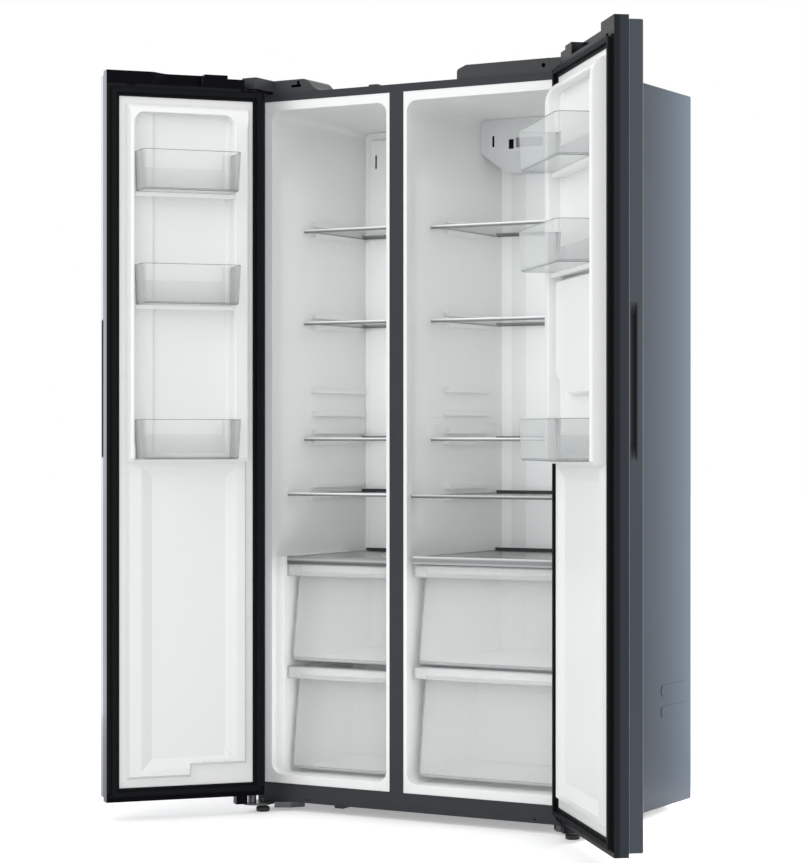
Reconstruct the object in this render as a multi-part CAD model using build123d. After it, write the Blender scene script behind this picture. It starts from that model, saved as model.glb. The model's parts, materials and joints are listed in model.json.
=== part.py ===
"""Side by side refrigerator with two hinged doors, shelves, door bins and drawers.

Millimetres, +Z up, the front faces -Y. The origin is the centre of the cabinet's underside:
the floor lies floor_gap below it. The rest pose has both doors open by door_rest_angle.
Every node is written to parts/NODE.step.
"""

from math import radians, tan
import os

from build123d import *

# ---------------------------------------------------------------- cabinet shell
cabinet_width = 910.0
cabinet_depth = 548.0
cabinet_height = 1725.0
floor_gap = 22.0
sheet = 1.0
cabinet_edge_radius = 4.0
frame_strip = 19.0
mullion_strip = 37.6
set_gap = 0.3
emboss_length = 150.0
emboss_height = 27.0
emboss_rise = 1.2
emboss_from_back = 28.0
emboss_heights = (227.0, 278.0)

# ---------------------------------------------------------------- front rail
rail_height = 44.0
rail_sheet = 1.5
rail_top_lip = 20.0
rail_foot = 30.0
rail_hole = 2.5
rail_hole_height = 8.0
rail_holes_from_sides = (144.0, 150.0)
rail_tab_from_side = 216.0
rail_tab_width = 39.0
rail_tab_slope = 16.0
rail_tab_drop = 7.0
rail_tab_set_back = 6.0

# ---------------------------------------------------------------- compartments
side_wall = 37.5
mullion_half = 26.0
mullion_foot = 1.0
flange_top = 20.0
flange_bottom = 20.0
flange_tuck = 8.0
liner_wall = 2.0
liner_corner = 28.0
liner_draft = 1.5
freezer_back_wall = 60.0
fridge_back_wall = 86.0
machine_room_height = 212.0
machine_room_depth = 176.0
machine_wall = 46.0
rib_height = 10.0
rib_reach = 7.0
rib_start = 175.0
rib_end_from_back = 75.0
upper_rib_rise = 22.0
spare_rib_shares = (0.23, 0.43)
ledge_wall = 12.0
ledge_reach = 7.0
ledge_thickness = 8.0
drawer_ledge_start = 58.0
cover_ledge_start = 50.0
cover_ledge_thickness = 6.0
cover_ledge_overrun = 60.0
ledge_end_clearance = 2.0

# ---------------------------------------------------------------- back panel and machine room
panel_gap = 4.0
panel_rib = 2.5
panel_rib_width = 44.0
panel_rib_spacing = 273.0
panel_rib_margin = 120.0
panel_rib_edge = 1.5
machine_cover = 2.0
cover_bottom = 10.0
louvre_width = 5.0
louvre_height = 62.0
louvre_pitch = 14.0
louvre_count = 9
louvre_from_side = 209.0
louvre_rows = (60.0, 145.0)
gland_height = 45.0
gland_radius = 9.0
gland_length = 22.0
gland_flange = 4.0
gland_bore = 4.0
base_sheet = 1.5
tray_left = 60.0
tray_width = 150.0
tray_height = 26.0
tray_wall = 2.0
tray_margin = 20.0
compressor_from_side = 200.0
compressor_radius = 68.0
compressor_height = 150.0
compressor_dome = 34.0
compressor_base_bevel = 14.0
compressor_seam = 3.0
compressor_seam_height = 80.0
compressor_lift = 12.5
compressor_plate_width = 172.0
compressor_plate_depth = 120.0
compressor_plate = 3.0
compressor_leg_radius = 9.0
compressor_leg_inset = 12.0
pedestal_radius = 48.0
relay_width = 32.0
relay_depth = 48.0
relay_base = 60.0
relay_height = 56.0
pipe_radius = 4.0
pipe_length = 16.0
pipe_offset = 20.0
wall_bite = 8.0
condenser_from_side = 125.0
condenser_width = 130.0
condenser_depth = 132.0
condenser_headroom = 32.0
condenser_plate = 2.0
tube_height = 5.0
tube_depth = 16.0
tube_overhang = 4.0
tube_rows = 4
tube_row_pitch = 40.0
tube_first_row = 32.0
tube_columns = (-42.0, 0.0, 42.0)
fan_radius = 62.0
fan_from_condenser = 32.0
fan_height = 92.0
fan_shaft = 3.0
fan_hub_radius = 17.0
fan_hub_length = 16.0
fan_pitch = 28.0
fan_ring_gap = 4.0
shroud_width = 140.0
shroud_headroom = 22.0
shroud_setback = 18.0
motor_radius = 19.0
motor_length = 18.0
motor_arm = 14.0
blade_count = 5
blade_thickness = 2.0
blade_chord_share = 0.22
blade_length_share = 0.8

# ---------------------------------------------------------------- evaporator side
evaporator_rise = 42.0
evaporator_height = 220.0
evaporator_width = 224.0
evaporator_depth = 44.0
fin_count = 16
fin_pitch = 14.0
fin_slot = 8.0
fin_slot_depth = 34.0
bend_radius = 15.0
bend_tube = 4.0
bend_pitch = 60.0
bend_first = 50.0
bend_count = 3
bend_setback = 20.0
evaporator_fan_rise = 352.0
evaporator_cover_setback = 63.0
cover_panel = 3.0
cover_fit = 0.6
panel_raise = 7.0
panel_border = 17.0
panel_corner = 12.0
panel_slope = 35.0
evaporator_fan_radius = 46.0
evaporator_hub_radius = 13.0
evaporator_hub_length = 14.0
evaporator_fan_pitch = 26.0
fan_boss_radius = 18.0
fan_boss_length = 14.0
fan_shaft_length = 22.0
air_slot_width = 5.0
air_slot_drops = (107.0, 72.0)
air_slot_spread = 114.0
intake_slot_width = 120.0
intake_slot_pitch = 9.0
intake_slot_count = 5
intake_slot_rise = 52.0

# ---------------------------------------------------------------- air duct and lamp housing
duct_setback = 22.0
duct_bevel = 51.0
duct_side = 28.0
duct_wall = 2.5
duct_foot = 60.0
duct_rear_wall = 8.0
vent_width = 140.0
vent_height = 5.0
vent_drop = 40.0
lamp_setback = 112.0
lamp_drop = 140.0
lamp_bevel_drop = 93.0
lamp_bevel_run = 50.0
lamp_corner = 46.0
lamp_wall = 2.5
lens_from_side = 111.5
lens_width = 74.0
lens_drop = 60.0
lens_height = 24.0
lamp_slot_from_side = 45.5
lamp_slot_width = 6.0
lamp_slot_drop = 52.0
lamp_slot_height = 28.0
lamp_button_from_side = 91.5
lamp_button_width = 14.0
lamp_button_drop = 63.0
lamp_button_height = 24.0

# ---------------------------------------------------------------- hinges, feet, rollers
hinge_plate = 4.0
hinge_from_side = 18.2
hinge_from_face = 54.5
hinge_pin_radius = 6.0
hinge_running_clearance = 0.05
upper_pin_length = 18.0
upper_arm_half = 14.0
upper_arm_end = 30.0
upper_foot_width = 80.0
upper_foot_start = 12.0
upper_foot_end = 78.0
lower_nose = 76.0
lower_nose_width = 36.0
lower_arm_width = 60.0
lower_arm_shoulder = 52.0
lower_arm_root = 20.0
lower_foot_width = 96.0
lower_foot_end_width = 116.0
lower_foot_depth = 30.0
lower_corner = 8.0
lower_lip = 3.5
lower_lip_drop = 10.0
collar_radius = 10.0
collar_clearance = 0.3
lower_pin_length = 18.0
upper_screws = ((22.0, 30.0), (66.0, 30.0), (44.0, 64.0))
lower_screws = ((72.0, 12.0), (96.0, 18.0))
screw_hole = 2.7
screw_shank = 2.5
screw_reach = 3.4
screw_head = 5.0
screw_head_height = 2.6
foot_radius = 16.5
foot_pad_height = 12.0
foot_chamfer = 2.0
foot_nut = 9.0
foot_nut_gap = 2.0
foot_stem_radius = 5.0
foot_stem_top = 8.0
foot_from_side = 36.6
foot_from_face = 35.0
stem_clearance = 0.05
roller_radius = 18.0
roller_width = 20.0
roller_chamfer = 2.0
roller_pin_radius = 4.0
roller_from_back = 48.0
roller_from_side = 70.0
roller_side_clearance = 2.0
roller_arch_clearance = 3.0
ear_thickness = 3.0
ear_half = 12.0
ear_rise = 8.0
ear_drop = 10.0

# ---------------------------------------------------------------- covers on the cabinet top
cover_top = 32.0
cover_wall = 2.5
cover_setback = 3.0
cover_side_gap = 0.6
hinge_cover_left_width = 170.0
hinge_cover_shoulder = 126.0
hinge_cover_edge = 3.0
hinge_cover_knee = 0.62
hinge_cover_end_slope = 0.35
hinge_cover_right_width = 113.0
hinge_cover_depth = 104.0
hood_side = 25.0
hood_reach = 21.0
hood_corner = 5.0
hood_end = 20.0
hood_clearance = 0.5
hook_slot_x = 110.0
hook_slot_width = 8.0
hook_slot_height = 15.0
hook_bar_width = 24.0
hook_bar_height = 6.0
hook_low = 13.0
board_cover_width = 243.0
board_cover_depth = 150.0
board_cover_edge = 22.0
board_cover_bevel = 24.0
board_cover_corner = 8.0
board_hole_from_side = 16.0
board_hole_height = 16.0
board_hole_radius = 5.0
board_gap = 20.0
board_width = 190.0
board_depth = 105.0
board_setback = 25.0
board_lift = 6.0
board_thickness = 1.6
board_post_inset = 6.0
board_post_radius = 3.0
board_pieces = ((20, 20, 34, 30, 18), (70, 16, 24, 20, 12), (110, 30, 40, 26, 16), (40, 70, 60, 18, 9),
                (130, 74, 30, 20, 12))
plug_from_side = 312.0
plug_width = 27.0
plug_depth = 16.0
plug_height = 4.5
plug_bevel = 2.0
plug_setback = 4.0

# ---------------------------------------------------------------- door shell
freezer_door_width = 389.0
door_gap = 5.0
door_bottom = 23.0
door_rise = 31.0
door_rest_angle = 130.0
door_body_thickness = 31.4
door_panel_thickness = 31.4
panel_end_set_back = 8.5
panel_edge_radius = 5.0
panel_end_chamfer = 1.5
panel_rebate = 3.0
cap_bottom_height = 22.0
skin_lip = 5.8
bush_width = 50.0
bush_depth = 22.0
bush_shoulder = 10.0
bush_clearance = 1.0
bush_boss_radius = 12.9
bush_recess = 3.0
cap_step = 42.0
cap_seat = 3.0
scoop_wall = 4.4
scoop_start = 150.0
scoop_free = 104.0
scoop_blend = 62.0
scoop_end_slope = 0.15
cam_start = 42.0
cam_width = 28.0
cam_depth = 26.0
cam_setback = 2.0
cam_drop = 20.0
top_slot_from_free = 67.0
top_slot_width = 18.0
top_slot_depth = 4.0
grip_bottom = 838.0
grip_top = 1167.0
grip_end_slope = 32.0
grip_depth = 28.0
grip_thickness = 18.0
grip_wall = 2.0
grip_from_seam = 2.0

# ---------------------------------------------------------------- door seal and inner liner
gasket_gap = 11.4
gasket_clearance = 0.4
gasket_frame = 30.0
gasket_inset = 8.0
gasket_crest_shift = 4.0
gasket_crest_width = 10.0
gasket_base_height = 3.0
gasket_bar_height = 5.0
gasket_neck_shift = 2.0
gasket_bottom_inset = 11.0
gasket_top_inset = 8.0
skin_tuck = 2.0
door_liner_wall = 2.5
dike_height = 38.0
dike_hinge_inset = 46.0
dike_free_inset = 47.0
dike_flank = 4.0
dike_hinge_width = 38.0
dike_free_width = 13.0
dike_top_width = 22.0
dike_lip = 4.6
dike_rise = 765.0
dike_top_clearance = 7.0
dike_round = 60.0
crest_round = 8.0
crest_break = 2.5
pocket_level = 10.0
pocket_corner = 25.0
pocket_draft = 2.0
centre_level = 2.0
centre_hinge_step = 8.0
centre_free_step = 48.0
centre_slope = 40.0
plateau_height = 12.0
plateau_slope = 30.0
plateau_overhang = 12.0
plateau_hinge_width = 26.0
plateau_free_width = 35.0
notch_width = 183.0
notch_height = 27.0
recess_depth = 9.0
recess_slope = 72.0
recess_floor_slope = 45.0
recess_low_margin = 19.0
recess_notch_margin = 12.0
recess_top_margin = 8.0
recess_floor_margin = 20.0
pod_level = 22.0
pod_side = 4.0
pod_drop = 15.0
pod_rise = 915.0
pod_slope_width = 112.0
pod_slope_height = 50.0
pod_corner = 12.0
pod_slope = 25.0

# ---------------------------------------------------------------- bins
bin_wall = 2.5
bin_reach = 108.0
bin_back = 14.0
bin_corner = 20.0
bin_side_gap = 1.5
bin_taper = 3.0
bin_base_chamfer = 4.0
bin_back_margin = 24.0
bin_back_drop = 35.0
bin_back_cut = 12.0
bin_ledge_front = 30.0
bin_ledge_height = 10.0
bin_ledge_sink = 0.4
freezer_bin_drops = (219.0, 486.0)
fridge_bin_drops = (213.0, 435.0)
freezer_bin_lift = 6.0
fridge_bin_lift = 7.0
freezer_bin_height = 94.0
fridge_bin_height = 91.0

# ---------------------------------------------------------------- shelves
shelf_glass = 4.0
shelf_trim_height = 8.0
shelf_trim_depth = 12.0
shelf_trim_lip = 2.0
shelf_trim_overlap = 3.0
shelf_bar_height = 9.0
shelf_bar_depth = 10.0
shelf_side_clearance = 3.0
shelf_back_clearance = 5.0
seat_clearance = 0.3
freezer_shelf_drops = (285.0, 514.0)
fridge_shelf_drops = (292.0, 517.0)
shelf_rises = (820.0, 685.0)
freezer_shelf_fronts = (138.0, 138.0, 138.0, 66.0)
fridge_shelf_fronts = (108.0, 108.0, 108.0, 17.0)

# ---------------------------------------------------------------- drawers and their glass lids
freezer_lid_rise = 532.0
fridge_lid_rise = 540.0
freezer_lid_front = 28.0
fridge_lid_front = 8.0
lid_trim_height = 17.0
lid_trim_depth = 14.0
lid_trim_lip = 1.0
lid_bar_height = 6.0
lid_side_gap = 1.0
drawer_wall = 2.5
drawer_header_height = 29.0
drawer_header_wall = 3.0
drawer_front_set_back = 40.0
drawer_foot_set_back = 6.0
drawer_back_lean = 8.0
drawer_rim = 6.0
drawer_rim_thickness = 3.0
drawer_rim_start = 10.0
drawer_rim_clearance = 12.0
drawer_body_step = 4.0
drawer_corner = 8.0
drawer_pad_reach = 28.0
drawer_pad_front = 15.0
drawer_pad_overrun = 10.0
drawer_side_gap = 2.0
drawer_wall_gap = 1.2
drawer_back_gap = 6.0
freezer_drawer_front = 28.0
fridge_drawer_front = 18.0
freezer_header_rises = (513.0, 263.0)
fridge_header_rises = (520.0, 279.0)
freezer_drawer_heights = (236.0, 250.0)
fridge_drawer_heights = (236.0, 262.0)

# ---------------------------------------------------------------- derived places
front = -cabinet_depth / 2
back = cabinet_depth / 2
half = cabinet_width / 2
freezer_depth = cabinet_depth - freezer_back_wall
fridge_depth = cabinet_depth - fridge_back_wall
fridge_door_width = cabinet_width - freezer_door_width - door_gap
mullion_x = -half + freezer_door_width + door_gap / 2
door_top = cabinet_height + door_rise
door_thickness = door_body_thickness + door_panel_thickness
body_bottom = door_bottom + cap_bottom_height
mouth_bottom = rail_height + flange_bottom
mouth_top = cabinet_height - frame_strip - flange_top
freezer_x = (-half + side_wall, mullion_x - mullion_half)
fridge_x = (mullion_x + mullion_half, half - side_wall)
liner_front = front + sheet
door_plane = front - gasket_gap
pivot_y = gasket_gap - hinge_from_face
draft_slope = tan(radians(liner_draft))
step_front = back - machine_room_depth - machine_wall
step_top = machine_room_height + machine_wall
machine_middle = back - machine_room_depth / 2
evaporator_cover_front = freezer_depth - evaporator_cover_setback
duct_front = fridge_depth - duct_setback
lamp_front = fridge_depth - lamp_setback
lamp_bottom = mouth_top - lamp_drop
freezer_lid_top = mouth_bottom + freezer_lid_rise
fridge_lid_top = mouth_bottom + fridge_lid_rise
dike_bottom = mouth_bottom + dike_rise
dike_top = mouth_top - dike_top_clearance
plateau_bottom = mouth_bottom + plateau_overhang
bush_front = door_thickness - skin_lip - bush_clearance


def heights_of(drops, rises):
    """Heights of a row: the upper pieces hang from the mouth's top, the lower ones stand on its foot."""
    return [mouth_top - drop for drop in drops] + [mouth_bottom + rise for rise in rises]


freezer_shelf_tops = heights_of(freezer_shelf_drops, shelf_rises)
fridge_shelf_tops = heights_of(fridge_shelf_drops, shelf_rises)
freezer_header_tops = heights_of((), freezer_header_rises)
fridge_header_tops = heights_of((), fridge_header_rises)
freezer_bin_bases = heights_of(freezer_bin_drops, (dike_rise + freezer_bin_lift,))
fridge_bin_bases = heights_of(fridge_bin_drops, (dike_rise + fridge_bin_lift,))
freezer_rear = evaporator_cover_front - panel_raise - shelf_back_clearance
fridge_rear = duct_front - shelf_back_clearance

nodes = {}


def block(x0, x1, y0, y1, z0, z1):
    """A box from its six faces."""
    return Pos((x0 + x1) / 2, (y0 + y1) / 2, (z0 + z1) / 2) * Box(abs(x1 - x0), abs(y1 - y0), abs(z1 - z0))


def rod(x, y, z0, z1, radius):
    """A vertical cylinder."""
    return Pos(x, y, (z0 + z1) / 2) * Cylinder(radius, z1 - z0)


def bar(x0, x1, y, z, radius):
    """A cylinder along X."""
    return Pos((x0 + x1) / 2, y, z) * Rot(0, 90, 0) * Cylinder(radius, x1 - x0)


def spindle(x, y0, y1, z, radius):
    """A cylinder along Y."""
    return Pos(x, (y0 + y1) / 2, z) * Rot(90, 0, 0) * Cylinder(radius, y1 - y0)


def prism_x(points, x0, x1):
    """A solid with a polygonal outline in YZ, from x0 to x1."""
    outline = [(0, y, z) for y, z in points]
    return Pos(x0, 0, 0) * extrude(make_face(Polyline(*outline, close=True)), amount=x1 - x0, dir=(1, 0, 0))


def prism_y(points, y0, y1):
    """A solid with a polygonal outline in XZ, from y0 to y1."""
    outline = [(x, 0, z) for x, z in points]
    return Pos(0, y0, 0) * extrude(make_face(Polyline(*outline, close=True)), amount=y1 - y0, dir=(0, 1, 0))


def prism_z(points, z0, z1):
    """A solid with a polygonal outline in XY, from z0 to z1."""
    outline = [(x, y, 0) for x, y in points]
    return Pos(0, 0, z0) * extrude(make_face(Polyline(*outline, close=True)), amount=z1 - z0, dir=(0, 0, 1))


def ring(x0, x1, z0, z1, width, y0, y1):
    """A rectangular picture-frame ring in the XZ plane."""
    hole = block(x0 + width, x1 - width, y0 - 1, y1 + 1, z0 + width, z1 - width)
    return block(x0, x1, y0, y1, z0, z1) - hole


def along(value):
    """Depth behind the cabinet's front face as a Y value."""
    return front + value


def come_in(y):
    """How far the outer side of a drafted liner wall has come in at Y."""
    return draft_slope * (y - liner_front)


def wall_offset(depth_behind_front):
    """How far the inner side of a drafted liner wall has come in at this depth."""
    return liner_wall + come_in(along(depth_behind_front))


def facing(y):
    """Sketch plane parallel to the doors: sketch x along X, sketch y upwards, extruded towards -Y."""
    return Plane(origin=(0, y, 0), x_dir=(1, 0, 0), z_dir=(0, -1, 0))


def panel(x0, x1, z0, z1, y, radius=0.0):
    """An upright rectangle at Y, with rounded corners if a radius is given."""
    shape = RectangleRounded(x1 - x0, z1 - z0, radius) if radius else Rectangle(x1 - x0, z1 - z0)
    return facing(y) * Pos((x0 + x1) / 2, (z0 + z1) / 2) * shape


# ---------------------------------------------------------------- cabinet shell
def cabinet_room(gap):
    """Space inside the outer shell, drawn in by a gap and rounded along its upper edges."""
    side = half - sheet - gap
    room = block(-side, side, liner_front, back + 1, -1, cabinet_height - sheet - gap)
    return fillet(room.edges().filter_by(Axis.Y).group_by(Axis.Z)[-1], cabinet_edge_radius - sheet)


def make_outer_cabinet():
    """Folded steel shell: sides, top and the front strips, with two pressed grips low on each side."""
    outer = block(-half, half, front, back, 0, cabinet_height)
    outer = fillet(outer.edges().filter_by(Axis.Y).group_by(Axis.Z)[-1], cabinet_edge_radius)
    shape = outer - cabinet_room(0)
    mouth = half - frame_strip
    shape -= block(-mouth, mouth, front - 1, liner_front + 1, -1, cabinet_height - frame_strip)
    shape -= block(-half + sheet, half - sheet, front - 1, liner_front + 1, -1, rail_height)
    slot = Plane.YZ * SlotOverall(emboss_length, emboss_height)
    for z in emboss_heights:
        for side in (-1, 1):
            pad = extrude(slot, amount=side * emboss_rise)
            shape += Pos(side * half, back - emboss_from_back - emboss_length / 2, z) * pad
    return shape


def make_front_rail():
    """Channel across the foot of the front, with a small tab below its left part."""
    side = half - sheet - set_gap
    shape = block(-side, side, front, front + rail_sheet, 0, rail_height)
    shape += block(-side, side, front, along(rail_top_lip), rail_height - rail_sheet, rail_height)
    shape += block(-side, side, front, along(rail_foot), 0, rail_sheet)
    x0 = -half + rail_tab_from_side
    x1 = x0 + rail_tab_width
    tab = ((x0, rail_sheet), (x1, rail_sheet), (x1, 0), (x1 - rail_tab_slope, -rail_tab_drop),
           (x0, -rail_tab_drop))
    shape += prism_y(tab, along(rail_tab_set_back), along(rail_foot))
    for x in (-half + rail_holes_from_sides[0], half - rail_holes_from_sides[1]):
        shape -= spindle(x, front - 1, along(rail_sheet + 1), rail_hole_height, rail_hole)
    return shape


def make_mullion_cover():
    """Steel strip over the front of the centre wall."""
    side = mullion_strip / 2
    return block(mullion_x - side, mullion_x + side, front, liner_front, rail_height + set_gap,
                 cabinet_height - frame_strip - set_gap)


def cavity(x_range, depth, inset):
    """The moulded room of a compartment: rounded mouth, drafted walls, raised floor over the machine room."""
    x0, x1 = x_range
    middle = ((x0 + x1) / 2, liner_front, (mouth_bottom + mouth_top) / 2)
    plane = Plane(origin=middle, x_dir=(1, 0, 0), z_dir=(0, 1, 0))
    mouth = RectangleRounded(x1 - x0 - 2 * inset, mouth_top - mouth_bottom - 2 * inset, liner_corner - inset)
    room = extrude(plane * mouth, amount=depth - inset, taper=liner_draft)
    return room - block(x0 - 1, x1 + 1, step_front - inset, back, 0, step_top + inset)


def shelf_rib(x_range, top, y1):
    """A pair of side ribs whose upper faces carry a shelf."""
    ribs = []
    y0 = along(rib_start)
    reach = wall_offset(y1 - front) + rib_reach
    for x, side in ((x_range[0], 1), (x_range[1], -1)):
        ribs.append(block(x - side, x + side * reach, y0, y1, top - rib_height, top))
    return ribs


def make_liner(x_range, depth, outer_side, shelf_tops, lid_top, header_tops):
    """A vacuum formed liner with its front flange, shelf ribs, drawer pad and drawer ledges."""
    x0, x1 = x_range
    body = cavity(x_range, depth, 0)
    room = cavity(x_range, depth, liner_wall)
    outer_edge = outer_side * (half - frame_strip + flange_tuck)
    inner_edge = mullion_x + outer_side * mullion_foot
    flange = block(outer_edge, inner_edge, liner_front, liner_front + liner_wall, rail_height + set_gap,
                   cabinet_height - frame_strip + flange_tuck)
    rib_end = liner_front + depth - rib_end_from_back
    extras = []
    for top in shelf_tops:
        extras += shelf_rib(x_range, top - shelf_glass - seat_clearance, rib_end)
        extras += shelf_rib(x_range, top + upper_rib_rise, rib_end)
    for share in spare_rib_shares:
        extras += shelf_rib(x_range, shelf_tops[2] + share * (shelf_tops[1] - shelf_tops[2]), rib_end)
    pad_x = x0 if outer_side < 0 else x1
    extras.append(block(pad_x + outer_side, pad_x - outer_side * drawer_pad_reach, along(drawer_pad_front),
                        step_front + drawer_pad_overrun, mouth_bottom, lid_top))
    left = (x0 + drawer_pad_reach - 1, x0 + drawer_pad_reach + ledge_reach) if outer_side < 0 else (
        x0 - 1, x0 + ledge_wall + ledge_reach)
    right = (x1 - drawer_pad_reach + 1, x1 - drawer_pad_reach - ledge_reach) if outer_side > 0 else (
        x1 + 1, x1 - ledge_wall - ledge_reach)
    drawer_ledge_front = along(drawer_pad_front + drawer_ledge_start)
    cover_ledge_front = along(drawer_pad_front + cover_ledge_start)
    for a, b in (left, right):
        for top in header_tops:
            z = top - drawer_header_height + drawer_rim
            extras.append(block(a, b, drawer_ledge_front, step_front - ledge_end_clearance,
                                z - ledge_thickness, z))
        z = lid_top - shelf_glass
        extras.append(block(a, b, cover_ledge_front, step_front + cover_ledge_overrun,
                            z - cover_ledge_thickness, z))
    shape = body - room + flange - room
    for extra in extras:
        shape += extra & body
    return shape


def make_insulation():
    """Foam as convex slabs that meet face to face: three upright walls, and a floor, step, back and ceiling
    to each compartment."""
    y0 = liner_front + liner_wall
    y1 = back - panel_gap
    y_room = back - machine_room_depth
    z1 = cabinet_height - sheet
    room = cabinet_room(0) - block(-half, half, front, along(rail_foot + 1), -1, rail_height + set_gap)
    ends = (y0, y1)
    slabs = []
    for left, right in (((-half, -half), [freezer_x[0] + come_in(y) for y in ends]),
                        ([freezer_x[1] - come_in(y) for y in ends], [fridge_x[0] + come_in(y) for y in ends]),
                        ([fridge_x[1] - come_in(y) for y in ends], (half, half))):
        plan = ((left[0], y0), (right[0], y0), (right[1], y1), (left[1], y1))
        wall = prism_z(plan, base_sheet, z1) & room
        slabs.append(wall & block(-half, half, y0, y_room, base_sheet, z1))
        slabs.append(wall & block(-half, half, y_room, y1, machine_room_height, z1))
    for x_range, depth in ((freezer_x, freezer_depth), (fridge_x, fridge_depth)):
        y_back = liner_front + depth
        plan = ((x_range[0] + come_in(y0), y0), (x_range[1] - come_in(y0), y0),
                (x_range[1] - come_in(y1), y1), (x_range[0] + come_in(y1), y1))
        bay = prism_z(plan, base_sheet, z1) & room
        floor = ((y0, base_sheet), (y0, mouth_bottom + come_in(y0)),
                 (step_front, mouth_bottom + come_in(step_front)), (step_front, base_sheet))
        rear = ((y_back, machine_room_height), (y1, machine_room_height), (y1, mouth_top - come_in(y1)),
                (y_back, mouth_top - come_in(y_back)))
        ceiling = ((y0, mouth_top - come_in(y0)), (y1, mouth_top - come_in(y1)), (y1, z1), (y0, z1))
        for outline in (floor, rear, ceiling):
            slabs.append(bay & prism_x(outline, *x_range))
        slabs.append(bay & block(*x_range, step_front, y_room, base_sheet, step_top))
        slabs.append(bay & block(*x_range, y_room, y_back, machine_room_height, step_top))
    return Compound(children=[solid for slab in slabs for solid in slab.solids()])


# ---------------------------------------------------------------- back and machine room
def make_back_panel():
    """Ribbed sheet that closes the back above the machine room."""
    z0 = machine_room_height + set_gap
    y = back - panel_gap
    shape = block(-half, half, y, y + sheet, z0, cabinet_height) & cabinet_room(set_gap)
    for step in (-1, 0, 1):
        middle = step * panel_rib_spacing
        rib = block(middle - panel_rib_width / 2, middle + panel_rib_width / 2, y, y + sheet + panel_rib,
                    z0 + panel_rib_margin, cabinet_height - panel_rib_margin)
        shape += chamfer(rib.edges().filter_by(Axis.Z).group_by(Axis.Y)[-1], panel_rib_edge)
    return shape


def make_machine_room_cover():
    """Sheet cover with two fields of louvres and the hole for the cable gland."""
    side = half - sheet - 2 * set_gap
    shape = block(-side, side, back - machine_cover, back, cover_bottom, machine_room_height)
    first = -(louvre_count - 1) / 2 * louvre_pitch
    for group in (-1, 1):
        for row in louvre_rows:
            for i in range(louvre_count):
                x = group * (half - louvre_from_side) + first + i * louvre_pitch
                shape -= block(x - louvre_width / 2, x + louvre_width / 2, back - machine_cover - 1, back + 1,
                               row - louvre_height / 2, row + louvre_height / 2)
    shape -= spindle(0, back - machine_cover - 1, back + 1, gland_height, gland_radius + set_gap)
    return shape


def make_mains_inlet():
    """Cable gland through the machine room cover, with its flange outside and its nut inside."""
    wide = gland_radius + gland_flange
    outer_end = back + gland_length / 2
    shape = spindle(0, back - gland_length / 2, outer_end, gland_height, gland_radius)
    shape += spindle(0, back, back + gland_flange, gland_height, wide)
    nut = extrude(RegularPolygon(wide, 6), amount=gland_flange)
    shape += Pos(0, back - machine_cover, gland_height) * Rot(90, 0, 0) * nut
    shape -= spindle(0, back - gland_length, outer_end + 1, gland_height, gland_bore)
    return shape


def make_base_pan():
    """Underside sheet with the machine room walls, a pressed drip tray, roller arches and axle ears."""
    side = half - sheet - set_gap
    y0 = along(rail_foot + 1)
    y_room = back - machine_room_depth
    y_end = back - machine_cover - set_gap
    roof_end = back - panel_gap - sheet
    roof = machine_room_height
    shape = block(-side, side, y0, y_end, 0, base_sheet)
    shape += block(-side, side, y_room, y_room + sheet, 0, roof)
    shape += block(-side, side, y_room, roof_end, roof - sheet, roof)
    for end in (-1, 1):
        shape += block(end * (side - sheet), end * side, y_room, roof_end, 0, roof)
    x0 = -tray_left
    x1 = x0 + tray_width
    t0 = y_room + tray_margin
    t1 = back - tray_margin
    shape += block(x0, x1, t0, t1, base_sheet, tray_height)
    shape -= block(x0 + tray_wall, x1 - tray_wall, t0 + tray_wall, t1 - tray_wall, base_sheet + tray_wall,
                   tray_height + 1)
    axle_z = roller_radius - floor_gap
    arch = roller_width / 2 + roller_side_clearance
    room = roller_radius + roller_arch_clearance
    for end in (-1, 1):
        x = end * (half - roller_from_side)
        y = back - roller_from_back
        shape -= block(x - arch, x + arch, y - room, y + room, -1, base_sheet + 1)
        for ear in (-1, 1):
            shape += block(x + ear * arch, x + ear * (arch + ear_thickness), y - ear_half, y + ear_half,
                           axle_z - ear_drop, base_sheet + ear_rise)
        shape += bar(x - arch - ear_thickness, x + arch + ear_thickness, y, axle_z, roller_pin_radius)
    return shape


def make_roller(side):
    """Rear transport roller on the base pan's axle pin."""
    bore = roller_pin_radius + stem_clearance
    wheel = Cylinder(roller_radius, roller_width) - Cylinder(bore, roller_width + 2)
    wheel = chamfer(wheel.edges().filter_by(GeomType.CIRCLE).group_by(SortBy.RADIUS)[-1], roller_chamfer)
    place = Pos(side * (half - roller_from_side), back - roller_from_back, roller_radius - floor_gap)
    return place * Rot(0, 90, 0) * wheel


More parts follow.
